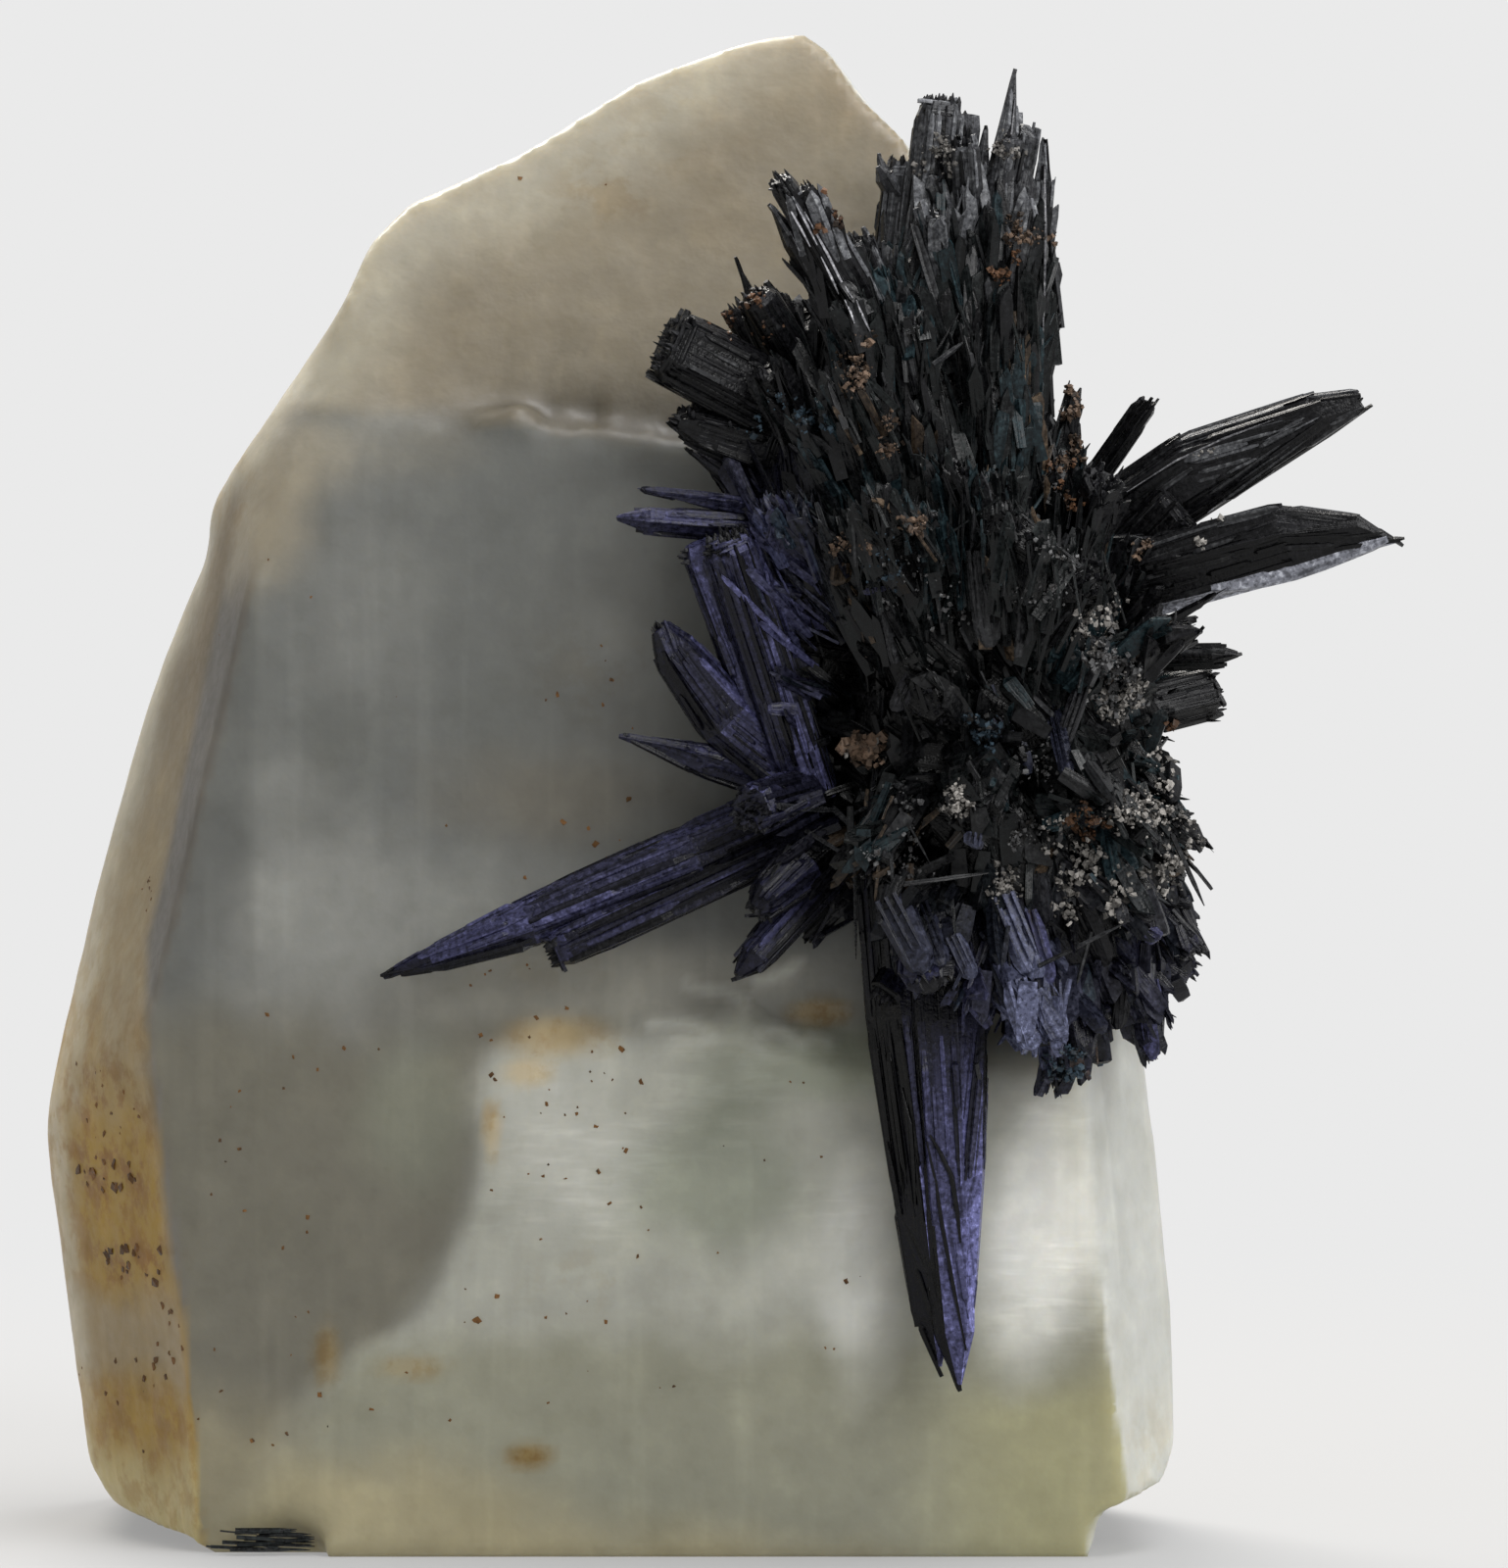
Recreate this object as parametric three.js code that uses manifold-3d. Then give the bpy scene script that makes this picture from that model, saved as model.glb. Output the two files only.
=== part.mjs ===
// Aegirine on orthoclase: a blocky, milky orthoclase crystal that stands on its broken base, with a spray
// of black aegirine crystals grown over its front right edge, and a few loose aegirine needles in a chip at
// its foot. Millimetres, +Z up, front towards -Y, origin on the ground under the middle of the specimen.
import * as THREE from "three";
import { LoftGeometry } from "three/addons/geometries/LoftGeometry.js";
import { mergeVertices } from "three/addons/utils/BufferGeometryUtils.js";
import Module from "manifold-3d";

const wasm = await Module();
wasm.setup();

// Driving dimensions of the orthoclase
const FRONT = -7.5; // the main front face
const BACK = 20.5; // the broken back
const PLATEAU = 1.1; // how far the lower front face stands proud of the main one
const PLATEAU_BEVEL = 1.6; // width of the slope around it
const HEIGHT = 62;
const LEDGE = 0.8; // depth of the broken ledge under the sloping top face
const LEDGE_HEIGHT = 46; // where the top face starts
const TOP_LEAN = 31; // degrees that the top face leans back from upright
const CLEARANCE = 0.3; // between the crystals of the two minerals
const CENTRE = new THREE.Vector3(-4.4, 6.5, 31); // inside the orthoclase, about its middle
const REACH = 200; // size of the blocks that cut along a plane

// Front outline of the orthoclase, clockwise from the left end of its base: [x, z]
const OUTLINE = [
  [-20.6, 0],
  [-21.4, 0.5],
  [-23.6, 0.8],
  [-25.5, 1.2],
  [-26.0, 5.4],
  [-27.4, 15.6],
  [-27.4, 17.4],
  [-25.2, 27.4],
  [-23.4, 34.6],
  [-21.8, 39],
  [-20.4, 41],
  [-21.2, 41.4],
  [-20.8, 42.8],
  [-17.2, 48],
  [-15.4, 50.8],
  [-14.2, 53.4],
  [-12.7, 54.9],
  [-8, 57],
  [-3.2, 60],
  [1.2, 61.6],
  [3.5, HEIGHT],
  [4.6, 61.2],
  [6, 59.2],
  [7.8, 57.4],
  [12.4, 48],
  [15.4, 38],
  [17, 24],
  [18, 15.4],
  [18.6, 9.8],
  [18.7, 4.2],
  [18.2, 2.8],
  [15.6, 1.9],
  [15.2, 0],
];

// Broken upper edge of the main front face, left to right: [x, z]
const LEDGE_EDGE = [
  [-20.2, 42.2],
  [-18.4, 43.3],
  [-17.2, 44.7],
  [-15.6, 45.4],
  [-12.5, 46.1],
  [-9.4, 46.5],
  [-8.1, 46.9],
  [-7, 46.4],
  [-6.2, 45.9],
  [-5.2, 46.3],
  [-4, 45.8],
  [-2.4, 45.9],
  [-1.2, 45.5],
  [3, 45.2],
  [8, 44.2],
  [20, 41],
];

// Outline of the proud lower front face, from its left foot over its stepped upper edge: [x, z]
const PLATEAU_OUTLINE = [
  [-19.6, -4],
  [-16, 7.4],
  [-11.8, 11.4],
  [-9.6, 16],
  [-9.7, 18.8],
  [-4.5, 21.4],
  [-1.3, 22.7],
  [1.2, 23],
  [2.6, 22],
  [5.2, 21.3],
  [24, 21.6],
  [24, -4],
];

// Flat faces that cut the block, each by three points on it: [x, y, z]
const FACES = {
  leftUpper: [
    [-18.4, -6.9, 43.2],
    [-23.2, -6.3, 22],
    [-26.6, 3, 21.4],
  ],
  leftLower: [
    [-23.2, -6.3, 21],
    [-20.6, -7.2, 0.5],
    [-27.4, 3, 16.6],
  ],
  leftBand: [
    [-18.7, FRONT, 43],
    [-18.7, FRONT, 22],
    [-23.2, -6.4, 22],
  ],
  right: [
    [15.7, -8.6, 10],
    [14.7, -8.6, 21],
    [18.6, -3, 10],
  ],
  foot: [
    [-10, FRONT - PLATEAU, 8.6],
    [12, FRONT - PLATEAU, 9.4],
    [0, FRONT - 0.3, 0],
  ],
  backLeft: [
    [-27.4, 7, 16.6],
    [-18, 21, 14],
    [-18, 6, 48],
  ],
  backRight: [
    [18.7, 7, 8],
    [9, 21, 10],
    [14.5, 6, 40],
  ],
  backTopLeft: [
    [-17.2, 6.5, 48],
    [1.2, 8.5, 61.6],
    [-6, 21, 46],
  ],
  backTopRight: [
    [4.6, 8.5, 61.2],
    [13, 6, 48],
    [6, 21, 47],
  ],
  back: [
    [-10, BACK, 8],
    [8, BACK - 0.7, 8],
    [-4, BACK - 2, 44],
  ],
  leftChip: [
    [-23.6, -4.6, 1.6],
    [-21, -7.7, 1.6],
    [-25.1, -5.8, 4],
  ],
};

// The main front face, and the face left of the proud lower front that falls away from it
const FRONT_FACE = [
  [0, FRONT, 0],
  [10, FRONT, 0],
  [0, FRONT, 10],
];
const LOWER_LEFT_FACE = [
  [-18.7, FRONT, 22.6],
  [-9.7, FRONT, 19.6],
  [-18, FRONT + 1.1, 2],
];

// Cleavage steps broken out of the back: the corner they start at, their size, and their turns about X, Y
// and Z in degrees
const BACK_STEPS = [
  { at: [-5.5, 16.2, 35], size: [-50, 30, 60], turns: [6, -14, -5] },
  { at: [5, 17, 25], size: [50, 30, -60], turns: [-4, 11, 6] },
  { at: [3, 15.6, 50], size: [60, 30, 60], turns: [9, 24, 4] },
];

// Recess at the left foot where the loose needles lie
const FOOT_RECESS = { at: [-21.7, -6.3, -1], size: [5.6, -8, 2.2], turns: [-12, 3, 0] };

// Crystal outlines along the length: [share of the length, share of the width]
const LANCE = [[0, 0.8], [0.3, 1], [0.68, 0.78], [0.9, 0.38], [1, 0.05]];
const BLUNT = [[0, 0.9], [0.5, 1], [0.88, 0.74], [1, 0.3]];
const PRISM = [[0, 1], [0.84, 0.94], [1, 0.22]];
const CHISEL = [[0, 1], [0.95, 0.98], [1, 0.76]];
const SPIKE = [[0, 1], [0.55, 0.8], [1, 0.04]];

// Cross sections of a crystal, from -0.5 to 0.5 across its width and its thickness
const EIGHT_SIDED = [
  [0.5, 0.16], [0.27, 0.5], [-0.27, 0.5], [-0.5, 0.16],
  [-0.5, -0.16], [-0.27, -0.5], [0.27, -0.5], [0.5, -0.16],
];
const SIX_SIDED = [[0.5, 0.1], [0.05, 0.5], [-0.42, 0.34], [-0.5, -0.14], [-0.08, -0.5], [0.4, -0.36]];
const SLENDER = 1.3; // crystals narrower than this have six sides
const FOUR_SIDED = [[0.5, 0], [0, 0.5], [-0.5, 0], [0, -0.5]];

// The crystals that stand out of the spray. width is seen from the front, roll turns the crystal about its
// length in degrees, and bow bends it sideways by that share of its length.
const BLADES = [
  // The hanging blade: three crystals side by side
  { root: [6.9, -10.6, 28.5], tip: [9.2, -11.2, 8.1], width: 3.2, thickness: 2.6, roll: 38, form: LANCE },
  { root: [8.3, -10.9, 28.5], tip: [9.75, -11.6, 7.4], width: 3.1, thickness: 2.5, roll: -8, form: LANCE },
  { root: [9.6, -10.7, 27.5], tip: [10.1, -11.6, 10.1], width: 2.3, thickness: 2.2, roll: -24, form: LANCE },
  { root: [10.3, -10, 25.5], tip: [10.95, -11, 18.5], width: 0.6, thickness: 0.5, roll: 0, form: SPIKE },
  // The long blade to the left, with a shorter one along its lower side
  {
    root: [4.4, -9.8, 31.1], tip: [-13.4, -11.6, 24],
    width: 2.5, thickness: 2, roll: 14, bow: 0.012, form: LANCE,
  },
  { root: [3.6, -9.9, 29.7], tip: [-6.6, -11.4, 25], width: 1.7, thickness: 1.6, roll: -18, form: CHISEL },
  // The upright pair of slate prisms
  { root: [3.9, -10.4, 31.1], tip: [0.45, -12.8, 41.8], width: 2.2, thickness: 2, roll: 24, form: CHISEL },
  { root: [3, -10.2, 31.5], tip: [-0.75, -12, 41.5], width: 1.5, thickness: 1.5, roll: -12, form: CHISEL },
  // The dark pair beside them
  {
    root: [3.8, -10, 31.3], tip: [-2.3, -12.4, 38.1],
    width: 2.5, thickness: 1.5, roll: 10, bow: 0.05, form: BLUNT,
  },
  { root: [3.2, -9.9, 31.5], tip: [-3.7, -12, 33.7], width: 1.7, thickness: 1.3, roll: -16, form: SPIKE },
  // A stub that points at the viewer, and the two stubs under it
  { root: [4.6, -9, 31.5], tip: [1.4, -14.4, 30.9], width: 2, thickness: 2, roll: 12, form: CHISEL },
  { root: [5.4, -9.4, 30.1], tip: [1.5, -12.4, 26.7], width: 2.2, thickness: 1.9, roll: 20, form: BLUNT },
  { root: [5, -9.2, 28.5], tip: [0.8, -11.6, 24], width: 1.4, thickness: 1.3, roll: -10, form: PRISM },
  // The two large blades to the right, a prong above and needles below them
  {
    root: [13, -7, 39.9], tip: [26, -9.4, 47.9],
    width: 3.3, thickness: 1.9, roll: -10, bow: 0.02, form: BLUNT,
  },
  {
    root: [13, -8.2, 40.1], tip: [27.4, -11.2, 41.9],
    width: 3.5, thickness: 2.1, roll: 22, bow: -0.045, form: LANCE,
  },
  { root: [14.8, -6.4, 43.1], tip: [17.5, -7.4, 47], width: 0.9, thickness: 0.8, roll: 0, form: CHISEL },
  { root: [15, -9, 36.5], tip: [20.6, -10.6, 39.4], width: 0.5, thickness: 0.5, roll: 0, form: SPIKE },
  { root: [15, -8.4, 36.5], tip: [19.4, -9.4, 38.1], width: 0.45, thickness: 0.45, roll: 30, form: SPIKE },
  // The upright crystals at the top
  { root: [10.4, -7.8, 46.5], tip: [12.1, -6.8, 60.5], width: 2.2, thickness: 1.7, roll: 20, form: SPIKE },
  { root: [12.9, -6.8, 45.5], tip: [13.3, -5.4, 57.5], width: 0.95, thickness: 0.9, roll: 15, form: PRISM },
  { root: [7.7, -7.6, 46.5], tip: [9.1, -6.6, 59.2], width: 1.9, thickness: 1.6, roll: 10, form: CHISEL },
  { root: [8.9, -7.4, 47.5], tip: [10.3, -6.2, 58.7], width: 0.9, thickness: 0.9, roll: 30, form: CHISEL },
  { root: [9.8, -7.6, 47.5], tip: [10.9, -6.4, 58.1], width: 0.8, thickness: 0.8, roll: 0, form: PRISM },
  { root: [6.4, -7.2, 45.5], tip: [7.7, -6, 56.7], width: 1.8, thickness: 1.5, roll: -20, form: CHISEL },
  { root: [11.8, -8.8, 44.5], tip: [12.6, -8.4, 55.1], width: 2, thickness: 1.5, roll: -15, form: PRISM },
  { root: [9.4, -9.2, 43.5], tip: [9.8, -8.8, 54.5], width: 2.1, thickness: 1.6, roll: 18, form: PRISM },
  // The grey bundle that leans to the upper left
  { root: [7.8, -11, 47.1], tip: [2.55, -14.4, 56.2], width: 1.1, thickness: 1.3, roll: 0, form: CHISEL },
  { root: [8.4, -11, 47.3], tip: [3.45, -14.2, 55.8], width: 1, thickness: 1.2, roll: 25, form: CHISEL },
  { root: [7.2, -10.8, 46.9], tip: [2.3, -13.6, 54.9], width: 0.9, thickness: 1.1, roll: -20, form: PRISM },
  // The fat dark prisms at the upper left and the prongs under them
  { root: [5.5, -9.4, 45.5], tip: [-2, -12.2, 49.5], width: 3, thickness: 2.4, roll: 15, form: CHISEL },
  { root: [5, -9.2, 44.5], tip: [-1.6, -11.4, 46.4], width: 2.2, thickness: 2, roll: -10, form: BLUNT },
  { root: [3.4, -8.6, 46.5], tip: [0.85, -9.6, 52.7], width: 1.2, thickness: 1, roll: 0, form: SPIKE },
  { root: [4.6, -9.4, 46.5], tip: [1.6, -11.6, 51.5], width: 1.5, thickness: 1.4, roll: 30, form: CHISEL },
  { root: [3.6, -9.6, 41.9], tip: [-4, -11.8, 42.5], width: 1.1, thickness: 1, roll: 0, form: PRISM },
  { root: [3.6, -9.8, 42.5], tip: [-3.2, -12, 43.7], width: 0.9, thickness: 0.9, roll: 20, form: SPIKE },
  // The hanging fringe of the lower spray
  { root: [11, -11, 30.5], tip: [13.1, -14.6, 20.8], width: 2.9, thickness: 2.2, roll: 14, form: BLUNT },
  { root: [7.6, -11.4, 30.5], tip: [8.9, -15, 23.9], width: 2.2, thickness: 1.8, roll: -18, form: CHISEL },
  { root: [9.4, -11.2, 29.5], tip: [10.8, -14.4, 22.7], width: 1.7, thickness: 1.4, roll: 10, form: PRISM },
  { root: [13, -10.4, 28.5], tip: [14.7, -12.6, 19.8], width: 1.7, thickness: 1.6, roll: 30, form: CHISEL },
  { root: [15.6, -8.4, 28.5], tip: [17.3, -10, 20.2], width: 1.1, thickness: 1, roll: 0, form: PRISM },
  { root: [16.2, -7.8, 28.5], tip: [18, -9.2, 20.4], width: 1, thickness: 1, roll: 25, form: PRISM },
  { root: [14.6, -8.6, 29.5], tip: [19.3, -10.8, 24.9], width: 1.4, thickness: 1.2, roll: -15, form: CHISEL },
  { root: [15.4, -8.2, 32.5], tip: [20, -9.6, 27.5], width: 0.6, thickness: 0.6, roll: 0, form: SPIKE },
  { root: [15.4, -7.4, 33.5], tip: [19.8, -8, 29.1], width: 0.6, thickness: 0.6, roll: 15, form: SPIKE },
  // The crystals that lean out of the middle towards the viewer
  { root: [9, -10, 37.5], tip: [6.2, -20.5, 43.5], width: 2.4, thickness: 1.8, roll: 10, form: PRISM },
  { root: [11, -10, 36.5], tip: [12.6, -19, 41.9], width: 2, thickness: 1.6, roll: -20, form: CHISEL },
  { root: [11, -10, 33.5], tip: [10.4, -19.4, 30.9], width: 2.1, thickness: 1.8, roll: 25, form: CHISEL },
  { root: [12, -9.6, 32.5], tip: [15.6, -17.6, 31.5], width: 1.9, thickness: 1.6, roll: 0, form: PRISM },
];

// The intergrown heart of the spray, bottom to top: middle of each section [x, y, z], and its half width and
// half depth
const HEART = [
  { at: [15, -8.4, 21], half: [2, 2.4] },
  { at: [13.6, -8, 23.5], half: [4.2, 4.4] },
  { at: [12.2, -7.6, 26.5], half: [6.2, 6.2] },
  { at: [11.8, -7.4, 30.5], half: [6.8, 7.2] },
  { at: [11, -7.4, 34.5], half: [6.6, 7.2] },
  { at: [9.6, -7.6, 38.5], half: [6.2, 6.8] },
  { at: [7.4, -7.8, 42.5], half: [6.9, 6.2] },
  { at: [6.9, -7.4, 46.5], half: [6.7, 5.8] },
  { at: [7.6, -6.4, 50], half: [5.4, 5] },
  { at: [10.2, -5.4, 53.5], half: [3, 4] },
  { at: [10.8, -4.8, 56.5], half: [1.6, 2.2] },
];
const HEART_SIDES = 9;
const HEART_ROUGHNESS = 0.14; // share by which the corners of the heart wander in and out

// Small crystals that bristle from the heart, drawn at random with a fixed seed
const BRISTLES = 105;
const BRISTLE_SEED = 20457;
const BRISTLE_LENGTH = [3.4, 6.8];
const BRISTLE_WIDTH = [1, 2.4];
const BRISTLE_PARTING = 37; // height where the bristles part, upwards above it and downwards below
const BRISTLE_PARTING_SPAN = 6; // height over which they swing from lying flat to standing up
const BRISTLE_SWING = [-0.65, 2.25]; // least and most upward lean
const BRISTLE_OUTWARD = 0.62; // outward lean
const BRISTLE_STRAY = 0.7; // random lean
const BRISTLE_UPRIGHT_AT = 13; // x where the bristles have no sideways lean
const BRISTLE_SIDEWAYS = 0.04; // sideways lean for each millimetre from there
const BRISTLE_DEPTH = 0.72; // share of the heart's half width at which they are rooted
const BRISTLE_END_SHORTENING = 0.6;
const BRISTLE_MIDDLE_WIDENING = 0.6;
const BRISTLE_FLATNESS = [0.6, 0.95]; // thickness as a share of the width
const BRISTLE_FORMS = [PRISM, CHISEL, SPIKE];
const BRISTLE_STEPS = [0.7549, 0.5698]; // shares of the height and of the turn from one bristle to the next
const BRISTLE_CROWDING = 1.35; // above 1 brings them closer in the middle of the height
const BRISTLE_TURN = 1.25; // half turns that they cover, from the left over the front to the right back

// Loose needles in the recess at the foot: left end [x, z], length, tilt in degrees and thickness
const LOOSE_NEEDLES = [
  { at: [-20.9, 0.62], length: 3.9, tilt: -3, thickness: 0.34 },
  { at: [-20.4, 0.92], length: 2.7, tilt: -7, thickness: 0.32 },
  { at: [-19.6, 0.4], length: 3.1, tilt: 3, thickness: 0.34 },
  { at: [-18.3, 0.7], length: 1.9, tilt: -10, thickness: 0.3 },
];
const LOOSE_NEEDLES_FRONT = -7.1;

// A closed solid from a geometry.
function solidOf(geometry) {
  const bare = new THREE.BufferGeometry().copy(geometry);
  bare.deleteAttribute("normal");
  bare.deleteAttribute("uv");
  const merged = mergeVertices(bare, 1e-4);
  return new wasm.Manifold(
    new wasm.Mesh({
      numProp: 3,
      vertProperties: merged.attributes.position.array,
      triVerts: new Uint32Array(merged.index.array),
    }),
  );
}

// A geometry with flat faces from a solid.
function geometryOf(solid) {
  const { vertProperties, triVerts } = solid.getMesh();
  const geometry = new THREE.BufferGeometry();
  geometry.setAttribute("position", new THREE.BufferAttribute(vertProperties, 3));
  geometry.setIndex(new THREE.BufferAttribute(triVerts, 1));
  const flat = geometry.toNonIndexed();
  flat.computeVertexNormals();
  return flat;
}

function joined(solids) {
  return solids.reduce((whole, solid) => whole.add(solid));
}

// A front outline [x, z] pushed through from y = near to y = far.
function slab(outline, near, far) {
  const shape = new THREE.Shape(outline.map(([x, z]) => new THREE.Vector2(x, z)));
  const geometry = new THREE.ExtrudeGeometry(shape, { depth: far - near, bevelEnabled: false });
  return solidOf(geometry.rotateX(Math.PI / 2).translate(0, far, 0));
}

// The block of space beyond the plane through three points, away from the middle of the orthoclase.
function beyond([a, b, c]) {
  const [p, q, r] = [a, b, c].map((point) => new THREE.Vector3(...point));
  const plane = new THREE.Plane().setFromCoplanarPoints(p, q, r);
  if (plane.distanceToPoint(CENTRE) > 0) plane.negate();
  const upright = new THREE.Quaternion().setFromUnitVectors(new THREE.Vector3(0, 0, 1), plane.normal);
  const foot = plane.projectPoint(CENTRE, new THREE.Vector3());
  const block = new THREE.BoxGeometry(REACH, REACH, REACH).translate(0, 0, REACH / 2);
  return solidOf(block.applyQuaternion(upright).translate(foot.x, foot.y, foot.z));
}

// A box from one corner, with a size that may run backwards along an axis, turned about that corner.
function box({ at, size, turns }) {
  const [tilt, lean, turn] = turns.map(THREE.MathUtils.degToRad);
  const geometry = new THREE.BoxGeometry(...size.map(Math.abs)).translate(...size.map((value) => value / 2));
  return solidOf(geometry.rotateX(tilt).rotateY(lean).rotateZ(turn).translate(...at));
}

// The proud lower front face with the slope around it.
function plateau() {
  const shape = new THREE.Shape(PLATEAU_OUTLINE.map(([x, z]) => new THREE.Vector2(x, z)));
  const geometry = new THREE.ExtrudeGeometry(shape, {
    depth: 2 * PLATEAU,
    bevelThickness: PLATEAU,
    bevelSize: PLATEAU_BEVEL,
    bevelOffset: -PLATEAU_BEVEL,
    bevelSegments: 1,
  });
  return solidOf(geometry.rotateX(Math.PI / 2).translate(0, FRONT + 2 * PLATEAU, 0));
}

// What is missing above the broken ledge, in front of the sloping top face.
function aboveLedge() {
  const [left, right] = [LEDGE_EDGE[0], LEDGE_EDGE[LEDGE_EDGE.length - 1]];
  const around = [[REACH, right[1]], [REACH, REACH], [-REACH, REACH], [-REACH, left[1]]];
  const above = slab([...LEDGE_EDGE, ...around], -REACH, REACH);
  const start = FRONT + LEDGE;
  const rise = HEIGHT - LEDGE_HEIGHT;
  const back = start + rise * Math.tan(THREE.MathUtils.degToRad(TOP_LEAN));
  const face = [[0, start, LEDGE_HEIGHT], [10, start - 0.4, LEDGE_HEIGHT], [0, back, HEIGHT]];
  return above.intersect(beyond(face));
}

function orthoclase() {
  const block = slab(OUTLINE, FRONT - 2 * PLATEAU, BACK);
  const proud = plateau();
  const front = [FRONT_FACE, LOWER_LEFT_FACE].map((face) => beyond(face).subtract(proud));
  const faces = Object.values(FACES).map(beyond);
  const cuts = [...front, aboveLedge(), ...faces, ...BACK_STEPS.map(box), box(FOOT_RECESS)];
  return cuts.reduce((whole, cut) => whole.subtract(cut), block);
}

// The orthoclase grown by the clearance on every side, to cut what sits on it.
function grown(solid) {
  const { min, max } = solid.boundingBox();
  const scale = [0, 1, 2].map((i) => 1 + (2 * CLEARANCE) / (max[i] - min[i]) + 0.002);
  const middle = [0, 1, 2].map((i) => CENTRE.getComponent(i));
  return solid.translate(middle.map((value) => -value)).scale(scale).translate(middle);
}

// A crystal from its root to its tip: a loft of one flattened section.
function crystal({ root, tip, width, thickness, roll, bow = 0, form }, section) {
  const from = new THREE.Vector3(...root);
  const axis = new THREE.Vector3(...tip).sub(from);
  const length = axis.length();
  axis.normalize();
  const view = Math.abs(axis.y) > 0.95 ? new THREE.Vector3(0, 0, 1) : new THREE.Vector3(0, 1, 0);
  const across = new THREE.Vector3().crossVectors(axis, view).normalize();
  const bend = across.clone();
  across.applyAxisAngle(axis, THREE.MathUtils.degToRad(roll));
  const through = new THREE.Vector3().crossVectors(axis, across);
  const sections = form.map(([along, share]) => {
    const middle = from.clone().addScaledVector(axis, along * length);
    middle.addScaledVector(bend, 4 * bow * length * along * (1 - along));
    return section.map(([u, v]) => {
      const corner = middle.clone().addScaledVector(across, u * width * share);
      return corner.addScaledVector(through, v * thickness * share);
    });
  });
  return solidOf(new LoftGeometry(sections, { capStart: true, capEnd: true }));
}

// Numbers from 0 to 1 that repeat from run to run.
function generator(seed) {
  let state = seed;
  return () => {
    state = (state + 0x6d2b79f5) | 0;
    let mixed = Math.imul(state ^ (state >>> 15), 1 | state);
    mixed = (mixed + Math.imul(mixed ^ (mixed >>> 7), 61 | mixed)) ^ mixed;
    return ((mixed ^ (mixed >>> 14)) >>> 0) / 2 ** 32;
  };
}

function heart(random) {
  const sections = HEART.map(({ at, half }) =>
    Array.from({ length: HEART_SIDES }, (_, i) => {
      const angle = (2 * Math.PI * i) / HEART_SIDES;
      const wander = 1 + HEART_ROUGHNESS * (2 * random() - 1);
      const x = at[0] + half[0] * wander * Math.cos(angle);
      return new THREE.Vector3(x, at[1] + half[1] * wander * Math.sin(angle), at[2]);
    }),
  );
  return solidOf(new LoftGeometry(sections, { capStart: true, capEnd: true }));
}

// One small crystal on the heart: it leans outwards and, more the further it is from the parting, up or
// down. The places step evenly over the heart, closer in its middle, and the crystals at its two ends are
// shorter.
function bristle(random, count) {
  const between = ([low, high]) => low + (high - low) * random();
  const step = 2 * ((count * BRISTLE_STEPS[0]) % 1) - 1;
  const offMiddle = Math.sign(step) * Math.abs(step) ** BRISTLE_CROWDING;
  const place = (0.5 + 0.5 * offMiddle) * (HEART.length - 1.001);
  const below = HEART[Math.floor(place)];
  const above = HEART[Math.floor(place) + 1];
  const share = place % 1;
  const angle = Math.PI * (1 + BRISTLE_TURN * ((count * BRISTLE_STEPS[1]) % 1));
  const out = new THREE.Vector3(Math.cos(angle), Math.sin(angle), 0);
  const root = new THREE.Vector3(...below.at).lerp(new THREE.Vector3(...above.at), share);
  root.x += BRISTLE_DEPTH * out.x * THREE.MathUtils.lerp(below.half[0], above.half[0], share);
  root.y += BRISTLE_DEPTH * out.y * THREE.MathUtils.lerp(below.half[1], above.half[1], share);
  const swing = 0.25 + (root.z - BRISTLE_PARTING) / BRISTLE_PARTING_SPAN;
  const lean = new THREE.Vector3(BRISTLE_SIDEWAYS * (root.x - BRISTLE_UPRIGHT_AT), -0.08, 1);
  lean.multiplyScalar(THREE.MathUtils.clamp(swing, ...BRISTLE_SWING));
  const stray = new THREE.Vector3(random() - 0.5, random() - 0.5, random() - 0.5);
  stray.multiplyScalar(BRISTLE_STRAY);
  const direction = out.multiplyScalar(BRISTLE_OUTWARD).add(lean).add(stray).normalize();
  const length = between(BRISTLE_LENGTH) * (1 - BRISTLE_END_SHORTENING * offMiddle ** 2);
  const tip = root.clone().addScaledVector(direction, length).toArray();
  const width = between(BRISTLE_WIDTH) * (1.25 - BRISTLE_MIDDLE_WIDENING * Math.abs(offMiddle));
  const form = BRISTLE_FORMS[Math.floor(random() * BRISTLE_FORMS.length)];
  const thickness = width * between(BRISTLE_FLATNESS);
  return crystal({ root: root.toArray(), tip, width, thickness, roll: 180 * random(), form }, SIX_SIDED);
}

function aegirine(stone) {
  const random = generator(BRISTLE_SEED);
  const core = heart(random);
  const bristles = Array.from({ length: BRISTLES }, (_, count) => bristle(random, count));
  const blades = BLADES.map((blade) => crystal(blade, blade.width < SLENDER ? SIX_SIDED : EIGHT_SIDED));
  const spray = joined([core, ...blades, ...bristles]);
  const pieces = spray.subtract(grown(stone)).decompose();
  return pieces.reduce((largest, piece) => (piece.volume() > largest.volume() ? piece : largest));
}

function looseNeedles() {
  return joined(
    LOOSE_NEEDLES.map(({ at, length, tilt, thickness }) => {
      const turn = THREE.MathUtils.degToRad(tilt);
      const root = [at[0], LOOSE_NEEDLES_FRONT, at[1]];
      const tip = [at[0] + length * Math.cos(turn), LOOSE_NEEDLES_FRONT, at[1] + length * Math.sin(turn)];
      return crystal({ root, tip, width: thickness, thickness, roll: 0, form: PRISM }, FOUR_SIDED);
    }),
  );
}

function mesh(name, solid, finish) {
  const made = new THREE.Mesh(geometryOf(solid), new THREE.MeshStandardMaterial(finish));
  made.name = name;
  return made;
}

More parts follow.
